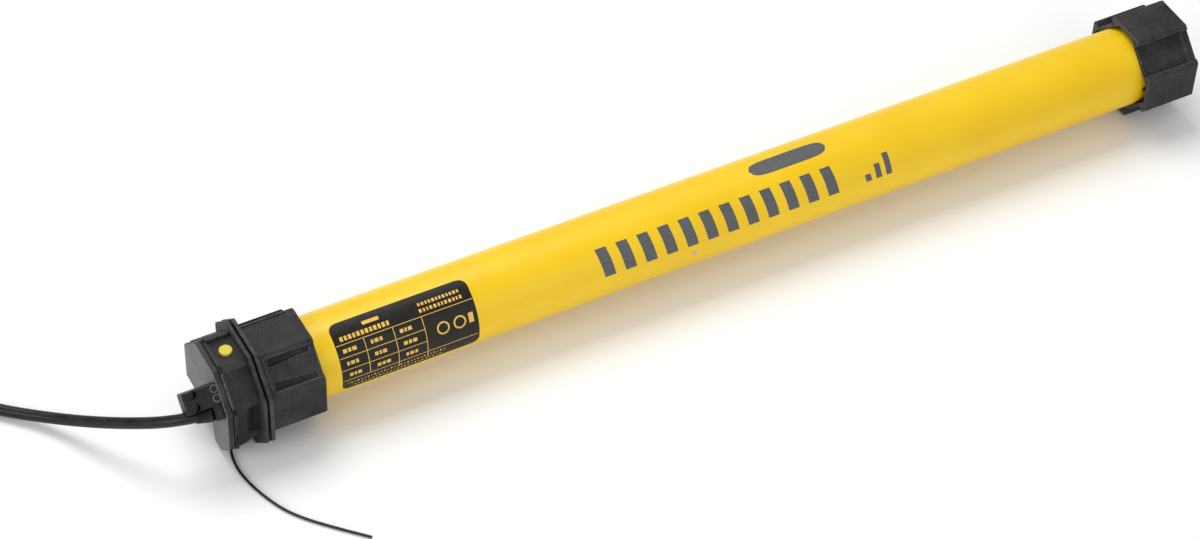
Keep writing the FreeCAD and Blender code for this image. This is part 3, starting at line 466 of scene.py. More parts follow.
def cover_with_painted_lit_front():
    """Cover plastic: grained like the head at its sides, and on the flat front a smoother, paler satin; the
    front's paler colour is painted light from the left.
    """
    finish = Finish("cover_plastic_painted_lit_front", 0.5, Specular_IOR_Level=0.35)
    normal = finish.node("ShaderNodeNewGeometry", {}).outputs["Normal"]
    facing = finish.node("ShaderNodeSeparateXYZ", {"Vector": normal}).outputs["X"]
    # Mask of the faces looking along -X, which get the painted light.
    front = finish.ranged(facing, -0.72, -0.95)
    cloud = finish.noise(70, 4)
    fine = finish.noise(1500, 2)
    grain = finish.sum(finish.ranged(cloud, 0.35, 0.65, 0.0, 0.5), finish.ranged(fine, 0.55, 0.72), 0.4)
    side = finish.blend(grain, shade(17, 17, 18), shade(68, 68, 68))
    # Paler colour of the front: painted light.
    face = finish.blend(grain, shade(92, 91, 93), shade(128, 127, 129))
    finish.colour(finish.blend(front, side, face))
    finish.roughness(finish.sum(cloud, fine, 0.3), 0.42, 0.6)
    finish.bump(fine, 0.02)
    return finish.material


def gear_resin(name, dark, light):
    """Smooth engineering plastic with a faint flow pattern and a slight translucence."""
    finish = Finish(name, 0.38, Subsurface_Weight=0.05, Subsurface_Scale=0.002)
    flow = finish.noise(90, 4, finish.stretched((0.3, 1, 1)))
    finish.colour(finish.blend(finish.ranged(flow, 0.35, 0.65), dark, light))
    finish.roughness(flow, 0.3, 0.46)
    finish.bump(finish.noise(900, 2), 0.008)
    return finish.material


def powder_coat():
    """Yellow powder coat: orange peel of about a millimetre, faint clouds and a few darker dust points."""
    finish = Finish("yellow_powder_coat", 0.34, Coat_Weight=0.1, Coat_Roughness=0.16, Specular_IOR_Level=0.3)
    peel = finish.noise(700, 2)
    cloud = finish.noise(22, 3)
    tint = finish.blend(finish.ranged(cloud, 0.3, 0.7), shade(236, 192, 15), shade(242, 202, 27))
    dust = finish.ranged(finish.cells(260), 0.0, 0.035, 0.35, 0.0)
    finish.colour(finish.blend(dust, tint, shade(196, 148, 18)))
    finish.roughness(finish.sum(peel, cloud, 0.5), 0.3, 0.42)
    finish.bump(peel, 0.012, over=finish.bump(finish.noise(160, 2), 0.02))
    return finish.material


def turned_metal(name, dark, light, rough=0.32, brush=(90, 1, 1), marks=0.012):
    """Machined metal: fine tool marks round the axis, and a roughness and tint that follow them."""
    finish = Finish(name, rough, 1.0)
    lines = finish.noise(60, 4, finish.stretched(brush))
    cloud = finish.noise(45, 4)
    finish.colour(finish.blend(finish.ranged(finish.sum(lines, cloud, 0.6), 0.5, 1.1), dark, light))
    finish.roughness(lines, rough - 0.08, rough + 0.14)
    finish.bump(lines, marks)
    return finish.material


def cast_metal(name, dark, light):
    """Die-cast metal: a skin of flat dimples with cloudy tint."""
    finish = Finish(name, 0.48, 1.0)
    skin_cells = finish.cells(700)
    cloud = finish.noise(80, 4)
    finish.colour(finish.blend(finish.ranged(cloud, 0.3, 0.7), dark, light))
    finish.roughness(cloud, 0.38, 0.6)
    finish.bump(finish.sum(finish.noise(500, 3), skin_cells, 0.6), 0.05)
    return finish.material


def lamination():
    """Stack of steel sheets: sharp bands a millimetre apart, with rust-brown varnish between."""
    finish = Finish("laminated_steel_stack", 0.45, 0.85)
    sheets = finish.bands(314)
    tint = finish.blend(finish.ranged(sheets, 0.12, 0.3), shade(58, 46, 38), shade(132, 132, 136))
    finish.colour(finish.blend(finish.ranged(finish.noise(120, 4), 0.5, 0.75, 0.0, 0.4), tint,
                               shade(96, 72, 54)))
    finish.roughness(sheets, 0.6, 0.36)
    finish.bump(sheets, 0.03)
    return finish.material


def copper_winding():
    """Enamelled copper wires side by side under varnish."""
    finish = Finish("enamelled_copper", 0.26, 0.9, Coat_Weight=0.5, Coat_Roughness=0.12)
    wires = finish.node("ShaderNodeTexWave", {"Vector": finish.stretched((0.15, 1, 1)), "Scale": 260.0,
                                              "Distortion": 3.0, "Detail": 1.0},
                        wave_type="RINGS", rings_direction="X").outputs["Fac"]
    finish.colour(finish.blend(wires, shade(112, 44, 16), shade(206, 112, 58)))
    finish.roughness(wires, 0.4, 0.22)
    finish.bump(wires, 0.12)
    return finish.material


def circuit_board():
    """Green solder mask over raised copper tracks, with tinned pads between."""
    finish = Finish("green_circuit_board", 0.36, Coat_Weight=0.3, Coat_Roughness=0.1)
    tracks = finish.node("ShaderNodeTexBrick", {"Vector": finish.stretched((160, 160, 160)), "Scale": 1.0,
                                                "Mortar Size": 0.16, "Color1": (0, 0, 0, 1),
                                                "Color2": (0.25, 0.25, 0.25, 1),
                                                "Mortar": (1, 1, 1, 1)}).outputs["Fac"]
    mask = finish.blend(tracks, shade(12, 74, 42), shade(26, 112, 62))
    pads = finish.ranged(finish.cells(330), 0.16, 0.2, 1.0, 0.0)
    finish.colour(finish.blend(pads, mask, shade(188, 190, 186)))
    finish.roughness(finish.noise(200), 0.28, 0.44)
    finish.bump(finish.sum(tracks, pads, 0.7), 0.04)
    return finish.material


def foam():
    """Open-cell foam: dark pores of two sizes in a grey sponge."""
    finish = Finish("grey_foam", 0.9)
    pores = finish.sum(finish.cells(900), finish.cells(2200), 0.5)
    finish.colour(finish.blend(finish.ranged(pores, 0.15, 0.6), shade(58, 60, 62), shade(150, 152, 150)))
    finish.roughness(pores, 0.98, 0.84)
    finish.bump(pores, 0.3)
    return finish.material


def friction_lining():
    """Pressed brake lining: dark resin with brass and fibre flecks."""
    finish = Finish("brake_lining_resin", 0.78)
    flecks = finish.ranged(finish.cells(520, finish.stretched((1, 0.5, 1))), 0.06, 0.14, 1.0, 0.0)
    base = finish.blend(finish.noise(260, 4), shade(44, 38, 34), shade(92, 84, 74))
    finish.colour(finish.blend(flecks, base, shade(176, 140, 74)))
    finish.roughness(flecks, 0.86, 0.5)
    finish.bump(finish.noise(900, 3), 0.06)
    return finish.material


def wrapped_film(name, dark, light):
    """Shrunk film over a can: gloss with shallow wrinkles."""
    finish = Finish(name, 0.24, Coat_Weight=0.4, Coat_Roughness=0.08)
    folds = finish.noise(120, 3, finish.stretched((0.25, 1, 1)))
    finish.colour(finish.blend(finish.ranged(folds, 0.4, 0.62), dark, light))
    finish.roughness(folds, 0.2, 0.34)
    finish.bump(folds, 0.12)
    return finish.material


def cord_jacket(name, dark, light, rough=0.36):
    """Extruded cord jacket: satin, with faint drawn lines, scuffs and dust."""
    finish = Finish(name, rough, Specular_IOR_Level=0.35)
    scuffs = finish.noise(180, 4)
    fine = finish.noise(1300, 2)
    finish.colour(finish.blend(finish.ranged(finish.sum(scuffs, fine, 0.3), 0.6, 0.95), dark, light))
    finish.roughness(scuffs, rough - 0.06, rough + 0.14)
    finish.bump(finish.sum(fine, scuffs, 0.6), 0.015)
    return finish.material


def earth_insulation():
    """Earth wire: yellow with a green stripe along its upper side."""
    finish = Finish("striped_insulation", 0.4)
    upwards = finish.node("ShaderNodeSeparateXYZ",
                          {"Vector": finish.node("ShaderNodeNewGeometry", {}).outputs["Normal"]}).outputs["Z"]
    stripe = finish.ranged(finish.sum(upwards, finish.noise(60, 2), 0.2), 0.5, 0.54)
    finish.colour(finish.blend(stripe, shade(226, 202, 30), shade(24, 128, 58)))
    finish.roughness(finish.noise(300), 0.34, 0.5)
    finish.bump(finish.noise(1100, 2), 0.012)
    return finish.material


def label_ink(name, dark, light, rough):
    """Printed film: tiny screen dots of uneven ink, a little raised."""
    finish = Finish(name, rough, Specular_IOR_Level=0.25)
    dots = finish.cells(2600)
    cloud = finish.noise(150, 3)
    finish.colour(finish.blend(finish.ranged(finish.sum(dots, cloud, 0.6), 0.4, 1.0), dark, light))
    finish.roughness(cloud, rough - 0.05, rough + 0.12)
    finish.bump(dots, 0.006)
    return finish.material


HEAD_PLASTIC = moulded("head_plastic_grained", shade(17, 17, 18), shade(70, 70, 70), 0.56, wear_highlight_share=0.6)
ADAPTER_PLASTIC = moulded("adapter_plastic_grained", shade(22, 22, 23), shade(78, 78, 77), 0.55, wear_highlight_share=0.6)
COVER_PLASTIC = cover_with_painted_lit_front()
PLUG_PLASTIC = moulded("plug_plastic_satin", shade(5, 5, 5), shade(40, 40, 40), 0.32, 0.012, 0.06, 0.3)
# Light grey plastic of the seam teeth and latch eyes: painted glints.
GLINT_PAINTED_PLASTIC = moulded("seam_plastic_painted_glint", shade(46, 46, 46), shade(122, 122, 121), 0.42)
# Near-black steel for the plug screws: painted shade of their wells.
WELL_SHADE_STEEL = turned_metal("screw_steel_painted_well_shade", shade(14, 14, 15), shade(60, 60, 62), 0.3)
BUTTON_PLASTIC = moulded("yellow_button_plastic", shade(206, 186, 44), shade(228, 212, 92), 0.4, 0.02, 0.3)
POWDER_COAT = powder_coat()
CORD_JACKET = cord_jacket("black_cord_jacket", shade(8, 8, 9), shade(34, 34, 35))
LABEL_BLACK = label_ink("label_black", shade(18, 17, 13), shade(33, 31, 24), 0.42)
LABEL_GOLD = label_ink("label_gold", shade(206, 158, 62), shade(240, 196, 98), 0.42)
PRINT_GREY = label_ink("print_grey", shade(74, 76, 78), shade(96, 98, 100), 0.45)
BRIGHT_STEEL = turned_metal("bright_zinc_steel", shade(150, 150, 146), shade(214, 214, 208), 0.28)
BARE_COPPER = turned_metal("stranded_copper", shade(170, 92, 48), shade(232, 150, 98), 0.3, (1, 60, 1))
FINISHES = {
    "tube_paint": POWDER_COAT,
    "zinc_steel": BRIGHT_STEEL,
    "label_foil": LABEL_BLACK,
    "head_plastic": HEAD_PLASTIC,
    "cover_plastic": COVER_PLASTIC,
    "adapter_plastic": ADAPTER_PLASTIC,
    "button_plastic": BUTTON_PLASTIC,
    "spring_steel": turned_metal("spring_wire", shade(110, 112, 116), shade(188, 190, 196), 0.26,
                                 (1, 40, 40)),
    "board_laminate": circuit_board(),
    "component_plastic": moulded("component_plastic_dark", shade(30, 31, 34), shade(96, 98, 104), 0.46,
                                 0.02),
    "capacitor_film": wrapped_film("capacitor_film_white", shade(206, 208, 204), shade(236, 238, 234)),
    "foam_band": foam(),
    "contact_brass": turned_metal("contact_brass_plate", shade(164, 128, 54), shade(232, 200, 120), 0.24),
    "lead_insulation": cord_jacket("lead_insulation_grey", shade(120, 34, 30), shade(158, 58, 50)),
    "cable_jacket": CORD_JACKET,
    "conductor_insulation": cord_jacket("conductor_brown", shade(88, 48, 26), shade(122, 72, 42), 0.4),
    "laminated_steel": lamination(),
    "winding_copper": copper_winding(),
    "cast_aluminium": cast_metal("cast_aluminium_skin", shade(136, 138, 140), shade(184, 186, 188)),
    "bearing_bronze": turned_metal("sintered_bronze", shade(134, 92, 48), shade(188, 144, 86), 0.42,
                                   (1, 1, 1), 0.03),
    "machined_steel": turned_metal("machined_steel_rings", shade(98, 100, 104), shade(168, 170, 174), 0.3),
    "friction_lining": friction_lining(),
    "gear_steel": turned_metal("hobbed_gear_steel", shade(82, 84, 90), shade(156, 158, 162), 0.34,
                               (1, 30, 30)),
    "gear_plastic": gear_resin("gear_resin_ivory", shade(206, 198, 172), shade(232, 226, 206)),
}


def finish_nodes():
    """Gives every CAD node the finish of its slot in the record; the plug screws instead get near-black
    steel, painted shade of the deep wells they sit in.
    """
    for part in frame["record"]["subparts"]:
        node = frame["nodes"][part["node"]]
        for place in node.material_slots:
            place.material = FINISHES[part["material_slot"]]
    # The plug screws are darkened from their zinc steel as painted shade of their wells.
    for place in frame["nodes"]["plug_screws"].material_slots:
        place.material = WELL_SHADE_STEEL


def springs():
    """Copies of the two CAD springs, their doubled points merged, each standing in for its node."""
    slots = {part["node"]: part["material_slot"] for part in frame["record"]["subparts"]}
    for node, joint, along, travel in (("button_spring", "set_button_press", 2, 0.001),
                                       ("brake_spring", "brake_release", 0, 0.0004)):
        mesh = frame["nodes"][node].data.copy()
        merged = bmesh.new()
        merged.from_mesh(mesh)
        bmesh.ops.remove_doubles(merged, verts=merged.verts, dist=1e-7)
        merged.to_mesh(mesh)
        merged.free()
        mesh.materials.clear()
        mark_edges(mesh)
        piece = placed(node + "_wire", mesh)
        dress(piece, FINISHES[slots[node]], "motor", [node])
        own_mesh(piece)


# ---------------------------------------------------------------- tube, label and print
RIVET_STATIONS = (X_TUBE + 8.0, -14.6, X_TUBE_END - 3.4)
RIVET_ANGLES = (180.0, 0.0)
LABEL_X = low("rating_label")[0]
LABEL_LENGTH = high("rating_label")[0] - LABEL_X
LABEL_FROM, LABEL_TO = 98.0, 204.0
LABEL_R = TUBE_R + 0.12
INK = 0.03


def motor_tube():
    """Round tube r = R, rolled in at its ends and drawn in round each rivet by a dimple of 0.55 mm that fades
    out at 2.3 mm, with its bore inside."""
    near = [station + step for station in RIVET_STATIONS for step in np.linspace(-3, 3, 21)]
    even = np.linspace(X_TUBE + 0.6, X_TUBE_END - 0.6, 60)
    stations = np.unique(np.round(np.clip(np.concatenate([near, even]), X_TUBE + 0.6, X_TUBE_END - 0.6), 3))
    x = np.concatenate([[X_TUBE, X_TUBE + 0.2], stations, [X_TUBE_END - 0.2, X_TUBE_END]])
    angle = np.linspace(0, TWO_PI, 288, endpoint=False)
    end = np.minimum(x - X_TUBE, X_TUBE_END - x)
    radius = TUBE_R - 0.4 * (1 - smooth(0, 0.6, end))[:, None] * np.ones(len(angle))
    for station in RIVET_STATIONS:
        for place in RIVET_ANGLES:
            across = (angle - math.radians(place) + math.pi) % TWO_PI - math.pi
            away = np.hypot(x[:, None] - station, across * TUBE_R)
            radius -= 0.55 * (1 - smooth(1.2, 2.3, away))
    stations = np.repeat(x[:, None], len(angle), 1)
    outer = np.stack([stations, radius * np.cos(angle), radius * np.sin(angle)], -1)
    bore = TUBE_R - 1.5
    inner = np.stack([stations, bore * np.cos(angle) + 0 * radius, bore * np.sin(angle) + 0 * radius], -1)
    shell = skin(np.concatenate([outer, inner[[-1, 0]]]), loop=True)
    return make_piece("painted_tube", [shell], POWDER_COAT, "motor", ["motor_tube"])


def label_sheet():
    """Foil with round corners: the stations of each row draw in by R - sqrt(R^2 - (R - d)^2), where d is the
    row's distance from the nearer edge."""
    corner = 5.0
    arc = np.radians(LABEL_TO - LABEL_FROM) * TUBE_R
    near = np.linspace(0, corner, 12)
    v = np.unique(np.concatenate([near, np.linspace(corner, arc - corner, 40), arc - near]))
    edge = corner - np.minimum(np.minimum(v, arc - v), corner)
    draw = corner - np.sqrt(corner ** 2 - edge ** 2)
    u = np.linspace(0, 1, 24)[:, None]
    x = LABEL_X + draw + u * (LABEL_LENGTH - 2 * draw)
    angle = np.radians(LABEL_FROM) + v / TUBE_R + 0 * u
    return make_piece("rating_plate_foil", [bent_sheet(x, angle, TUBE_R - 0.02, LABEL_R)], LABEL_BLACK,
                      "motor", ["rating_label"])


def on_label(x0, x1, a0, a1):
    """Strip of ink on the label, from distances along it and angles."""
    return wrapped(LABEL_X + x0, LABEL_X + x1, a0, a1, LABEL_R - 0.02, LABEL_R + INK,
                   parts=(max(2, int((x1 - x0) / 4)), max(2, int((a1 - a0) / 3) + 1)))


def dashes(x, angle, lengths, tall, gap=0.7):
    """A line of plain dashes in place of words, starting at a distance along the label."""
    strips = []
    for length in lengths:
        strips.append(on_label(x, x + length, angle, angle + tall))
        x += length + gap
    return strips


def label_print():
    """Ruled table of plain dashes, with two rings, a bar and a small block."""
    header = 129.0
    lines = [header + 17.6 * k for k in range(4)]
    columns = (15.6, 32.2, 48.8)
    rule = 0.9
    strips = [on_label(0.4, LABEL_LENGTH - 0.4, header, header + rule),
              on_label(0.8, LABEL_LENGTH - 0.8, lines[3], lines[3] + rule)]
    strips += [on_label(0.4, columns[2], a, a + rule) for a in lines[1:3]]
    strips += [on_label(x, x + 0.4, header, lines[3] + extra) for x, extra in zip(columns, (0, 9, 13))]
    words = ((2.2, 1.6, 2.4), (1.4, 2.2, 1.6), (2.0, 1.2, 2.2))
    for row in range(3):
        for column, left in enumerate((3.2, 19.0, 35.6)):
            lengths = words[(row + column) % 3]
            strips += dashes(left + 0.5 * row, lines[row] + 6.8, lengths, 5.2)
    strips += dashes(3.6, 119.0, (1.7, 1.5) * 6, 6.4, 0.8)
    strips += dashes(49.5, 111.0, (1.2, 1.5, 1.0) * 4, 4.4, 0.8)
    strips += dashes(49.0, 119.5, (1.5, 1.1, 0.9, 1.4) * 3, 4.8, 0.9)
    strips += dashes(3.0, 188.0, (0.5, 0.9, 0.4, 1.1, 0.6) * 6, 2.4, 1.2)
    strips += dashes(7.0, 195.5, (0.8, 0.5, 1.0, 0.6, 0.8) * 5, 2.2, 1.3)
    strips += [label_ring(59.0, 154.0, 3.6, 0.9), label_ring(68.6, 154.0, 3.6, 0.9),
               on_label(18.0, 27.5, 108.5, 113.5), on_label(73.8, 76.6, 146.0, 160.0)]
    return make_piece("rating_plate_print", strips, LABEL_GOLD, "motor")


def label_ring(x, angle, radius, width):
    """Plain ring on the label: circles wrapped on, r from the radius less the width to the radius."""
    turn = np.linspace(0, TWO_PI, 33)
    r = np.array([radius - width, radius])[:, None]
    across = np.radians(angle) + r * np.sin(turn) / TUBE_R
    return bent_sheet(LABEL_X + x + r * np.cos(turn), across, LABEL_R - 0.02, LABEL_R + INK)


def tube_print():
    """Plain decoration: a row of slanted bars, a pill shape over its end and three rising bars."""
    bar_count = 12
    start, end = -72.0, 79.0
    pitch = (end - start) / bar_count
    top, bottom = 124.0, 166.0
    r0, r1 = TUBE_R - 0.03, TUBE_R + INK
    strips = [wrapped(start + pitch * k, start + pitch * k + 6.6, top, bottom, r0, r1, 2.4, (6, 22))
              for k in range(bar_count)]
    u = np.linspace(-1, 1, 33)[:, None]
    v = np.linspace(-1, 1, 17)[None]
    half_length, half_arc = 24.0, np.radians(13.0)
    squeeze = (1 - np.abs(u) ** 6) ** 0.5 * 0.98 + 0.02
    strips.append(bent_sheet(53.0 + half_length * u + 0 * v, np.radians(92.0) + half_arc * squeeze * v,
                             r0, r1))
    strips += [wrapped(92.0 + 6.4 * k, 95.6 + 6.4 * k, 165.0 - 11.0 * (k + 1), 165.0, r0, r1, 0.8, (3, 14))
               for k in range(3)]
    return make_piece("tube_decoration", strips, PRINT_GREY, "motor")


# ---------------------------------------------------------------- head
HEAD_CENTRE = (-10.0, 4.0)
NOTCH_Y, NOTCH_Z = -4.5, -14.0
NOTCH_DEPTH = 4.0
RIM = 1.6
TOP_FLOOR = 25.5
BUTTON_X, BUTTON_Y = X_FLANGE - 6.5, 1.0
PLUG_ANGLE = 135.0
PLUG_N = (14.9, 25.9)
PLUG_T = (-6.6, 5.2)
PLUG_MIDDLE = (PLUG_T[0] + PLUG_T[1]) / 2
WELL_X = X_PLUG + 5.4
WELL_T = (PLUG_MIDDLE - 3.5, PLUG_MIDDLE + 3.5)


def notched(distances):
    """Corners of a head outline with the notch for the cable: its sides leave the notch's corner on lines
    that reach the lower flat and the +Y flat."""
    foot = (NOTCH_Y - (NOTCH_Z + distances[6]) * 7.0 / 31.0, -distances[6])
    side = (distances[0], NOTCH_Z + (distances[0] - NOTCH_Y) * 3.5 / 49.5)
    return np.vstack([facets(distances)[:6], foot, (NOTCH_Y, NOTCH_Z), side])


def head_distances(base, sides=(5,)):
    """Distances of eight flats, of which the numbered ones stand further out."""
    return [base + OUTER_CORNER * (side in sides) for side in range(8)]


def flange_outline():
    """Outline of the head's flange and of the crown's rim: two opposite flats stand further out."""
    return rounded(facets(head_distances(FLANGE_HALF, (1, 5))), 0.6, 4)


def front_cover():
    """Slab with the notched outline; its front edge is a quarter round of 0.9 mm."""
    outline = rounded(notched(head_distances(HEAD_HALF - 0.4)), 0.8, 5)
    turn = np.linspace(0, math.pi / 2, 7)
    front = [(X_FRONT + 0.9 * (1 - math.cos(a)), 0.9 * (1 - math.sin(a))) for a in turn]
    back = [(X_SEAM - 0.8, 0.0), (X_SEAM - 0.62, 0.1), (X_SEAM - 0.55, 0.3), (X_SEAM - 0.5, 1.4),
            (X_SEAM, 1.5)]
    plate = skin(extruded(outline, front + back), centre=HEAD_CENTRE)
    return make_piece("front_cover_shell", [plate], COVER_PLASTIC, "motor",
                      ["head_front_cover"])


def head_shell():
    """Rim and middle of the head as rows cut by shared rays, with the tray, pocket and hollows pushed in."""
    middle = [HEAD_HALF, HEAD_HALF, TOP_FLOOR + 0.6, HEAD_HALF - 1.0, HEAD_HALF - 2.2,
              HEAD_HALF + OUTER_CORNER - 1.0, HEAD_HALF, HEAD_HALF]
    rim = rounded(notched(head_distances(HEAD_HALF)), 0.7, 5)
    cut = rounded(notched(middle), 0.9, 5)
    full = rounded(facets(middle), 0.9, 5)
    steps = [(-0.1, rim, 1.2), (0.0, rim, 0.35), (0.12, rim, 0.1), (0.3, rim, 0.0), (0.5, rim, 0.0),
             (1.2, rim, 0.0), (1.28, rim, 0.0), (1.45, rim, 0.05), (RIM, rim, 0.3), (RIM, cut, 0.0)]
    steps += [(x, cut, 0.0) for x in np.linspace(RIM + 0.4, NOTCH_DEPTH, 7)]
    steps += [(x, full, 0.0) for x in np.linspace(NOTCH_DEPTH, X_FLANGE - X_SEAM + 0.4, 38)]
    outlines = [inset(outline, depth) for _, outline, depth in steps]
    angles = shared_angles([rim[0], cut[0], full[0]], HEAD_CENTRE, 520)
    rows = np.array([section(X_SEAM + x, ring)
                     for (x, _, _), ring in zip(steps, rings(outlines, angles, HEAD_CENTRE))])
    shells = [skin(head_hollows(rows), centre=HEAD_CENTRE)]
    shells.append(slab(flange_outline(), X_FLANGE, X_COLLAR, 0.3))
    shells.append(lathe([(X_COLLAR - 0.3, 25.0), (X_RIM - 0.35, 25.0), (X_RIM - 0.15, 24.8),
                         (X_RIM - 0.15, 18.0), (X_COLLAR - 0.3, 18.0)], 96))
    shells.append(lathe([(X_RIM - 0.3, 20.2), (X_TUBE - 4.0, 20.2), (X_TUBE - 4.0, 22.2),
                         (X_TUBE - 3.7, 22.44), (X_TUBE - 0.3, 22.44), (X_TUBE - 0.1, 20.9),
                         (X_TUBE + 23.6, 20.9),
                         (X_TUBE + 24.0, 20.5), (X_TUBE + 24.0, 18.8), (X_RIM - 0.3, 17.8)], 96))
    shells.append(brick((X_SEAM + RIM - 0.2, X_FLANGE + 0.3), (TOP_FLOOR - 1.0, HEAD_HALF), (-11.6, -10.0),
                        90.0, 0.35))
    # Light grey teeth along the seam: painted glints.
    teeth = [brick((X_SEAM - 0.32, X_SEAM + 0.5), (HEAD_HALF - 0.6, HEAD_HALF + 0.32), (t - 0.34, t + 0.34),
                   PLUG_ANGLE, 0.12) for t in np.linspace(-8.6, 9.4, 17)]
    make_piece("seam_teeth", teeth, GLINT_PAINTED_PLASTIC, "motor")
    make_piece("button_seal_ring", [upright_ring(TOP_FLOOR - 0.6, TOP_FLOOR + 0.12, 4.3, 3.55)], PLUG_PLASTIC,
               "motor")
    return make_piece("head_housing", shells, HEAD_PLASTIC, "motor", ["head_body"])


def upright_ring(z0, z1, outer, inner):
    """Flat ring round the set button's axis, its outer edge broken."""
    shell = lathe([(z0, inner), (z0, outer), (z1 - 0.1, outer), (z1, outer - 0.1), (z1, inner)])
    return pointed(shell, (BUTTON_X, BUTTON_Y, 0.0), (0.0, 0.0, 1.0))


def head_hollows(rows):
    """Depths on each side: smooth steps across ranges along the axis and across the flat."""
    x = rows[..., 0]
    _, t = on_flat(rows, 90.0)
    outward = rows[..., 2] > TOP_FLOOR - 0.8
    tray = 0.6 * between(x, X_SEAM + 3.2, X_FLANGE - 1.4) * between(t, -8.6, 6.8)
    rows = pushed(rows, 90.0, tray * outward)
    n, t = on_flat(rows, 180.0)
    pocket = 3.6 * smooth(X_FLANGE - 8.4, X_FLANGE - 2.0, x) * between(t, -6.8, 8.0, 3.6)
    rows = pushed(rows, 180.0, pocket * (n > HEAD_HALF - 4.5))
    n, t = on_flat(rows, 225.0)
    hollow = 2.2 * smooth(X_SEAM + 3.6, X_FLANGE - 1.0, x) * between(t, -6.5, 6.5, 4.0)
    rows = pushed(rows, 225.0, hollow * (n > HEAD_HALF - 2.6))
    around = np.degrees(np.arctan2(rows[..., 2], rows[..., 1])) % 360
    slit = 1.5 * between(x, X_SEAM + 0.46, X_SEAM + 1.24, 0.06)
    for place in (69.0, 112.0, 157.5, 196.0):
        rows = pushed(rows, place, slit * between(around, place - 3.2, place + 3.2, 0.7))
    return rows


# ---------------------------------------------------------------- plug and gland
def plug():
    """Square bar rounded at its free end, with two round wells that have raised lips, and a wider root."""
    corners = [(PLUG_N[0], PLUG_T[0]), (PLUG_N[1], PLUG_T[0]), (PLUG_N[1], PLUG_T[1]), (PLUG_N[0], PLUG_T[1])]
    outline = rounded(corners, 1.2, 6, marks=np.linspace(0.012, 0.988, 58))
    turn = np.linspace(0, math.pi / 2, 7)
    profile = [(X_PLUG + 1.2 * (1 - math.cos(a)), 1.2 * (1 - math.sin(a))) for a in turn]
    profile += [(x, 0.0) for x in np.arange(X_PLUG + 1.4, WELL_X + 3.6, 0.17)]
    profile += [(x, 0.0) for x in np.linspace(WELL_X + 4.0, X_FRONT + 0.3, 8)]
    rows = extruded(outline, profile)
    n, t = rows[..., 1], rows[..., 2]
    for place in WELL_T:
        away = np.hypot(rows[..., 0] - WELL_X, t - place)
        depth = 5.5 * (1 - smooth(1.95, 2.08, away)) - 0.32 * between(away, 2.2, 2.75, 0.22)
        rows[..., 1] -= depth * (n > PLUG_N[1] - 0.6)
    points, faces = skin(rows)
    shells = [(turned(points, PLUG_ANGLE), faces),
              brick((X_FRONT - 5.0, X_FRONT + 0.3), (PLUG_N[0] + 1.2, PLUG_N[1] - 0.8), (0.0, 12.85),
                    PLUG_ANGLE, 0.9),
              brick((X_FRONT, X_SEAM + 7.6), (PLUG_N[0] + 0.2, PLUG_N[1] - 5.2),
                    (PLUG_MIDDLE - 4.4, PLUG_MIDDLE + 4.4), PLUG_ANGLE, 0.4)]
    shells.append(brick((X_FRONT - 8.0, X_FRONT - 7.4), (PLUG_N[1] - 0.4, PLUG_N[1] + 0.15), (-2.2, 1.6),
                        PLUG_ANGLE, 0.2))
    outward = (0.0, *compass(PLUG_ANGLE))
    # Light grey latch eyes: painted glints on the plug's root.
    eyes = []
    for t in (-3.6, 1.4):
        (place,) = turned(np.array([(X_FRONT - 1.7, PLUG_N[1] - 0.3, t)]), PLUG_ANGLE)
        eyes.append(pointed(lathe([(0.0, 2.1), (0.45, 2.1), (0.6, 1.9), (0.45, 1.6), (0.0, 1.6)], 40),
                            place, outward))
    make_piece("plug_latch_eyes", eyes, GLINT_PAINTED_PLASTIC, "motor")
    return make_piece("plug_body", shells, PLUG_PLASTIC, "motor", ["cable_plug"])


def gland():
    """Smooth tapered sleeve on the cable's first run, with a rolled end."""
    start, ahead = np.array(MAINS_ROUTE[0]), np.array(MAINS_ROUTE[1])
    direction = ahead - start
    profile = [(0.0, 3.2), (0.0, 4.1), (0.4, 4.4), (3.0, 4.25), (6.0, 3.9), (8.2, 3.7), (8.6, 3.85),
               (8.9, 3.7), (9.0, 3.4), (9.0, 3.2)]
    place = start / MM - (0.0, 0.0, AXIS)
    shell = pointed(lathe(profile, 48), place, direction)
    return make_piece("cable_gland_sleeve", [shell], PLUG_PLASTIC, "motor", ["cable_gland"])


# ---------------------------------------------------------------- crown and drive wheel
CROWN_BORE, GEAR_SEAT, SEAT_X = 22.6, 24.2, -256.4


def octagon(depth=0.0):
    """Corners of the crown's and wheel's eight sides, moved inwards by a depth."""
    return inset(rounded(facets([WHEEL_HALF] * 8), 0.8, 5), depth)


def crown():
    """Rim and grooved sleeve outside, gear seat and bore inside, as one loop of rows."""
    rim = flange_outline()
    angles = shared_angles([octagon(), rim[0]])
    steps = [(x, inset(rim, depth)) for x, depth in edge_profile(X_RIM, X_CROWN, 0.3)]
    steps += [(x, octagon()) for x in (X_CROWN, *np.linspace(X_CROWN + 0.4, X_CROWN_END - 1.0, 78))]
    steps += [(X_CROWN_END - back, octagon(depth)) for back, depth in ((0.5, 0.25), (0.15, 0.7), (0.0, 1.2))]
    rows = [section(x, ring) for (x, _), ring in zip(steps, rings([o for _, o in steps], angles))]
    ray = rays(angles)
    rows += [section(x, radius * ray) for x, radius in ((X_CROWN_END, CROWN_BORE + 0.3),
                                                        (X_CROWN_END - 0.3, CROWN_BORE), (SEAT_X, CROWN_BORE),
                                                        (SEAT_X, GEAR_SEAT), (X_RIM, GEAR_SEAT))]
    shells = [skin(crown_grooves(np.array(rows)), loop=True),
              brick((X_CROWN + 0.6, X_CROWN_END - 5.0), (WHEEL_HALF - 1.5, WHEEL_HALF + 0.9), (-11.2, -10.2),
                    90.0, 0.25)]
    return make_piece("limit_crown", shells, ADAPTER_PLASTIC, "crown", ["crown"])


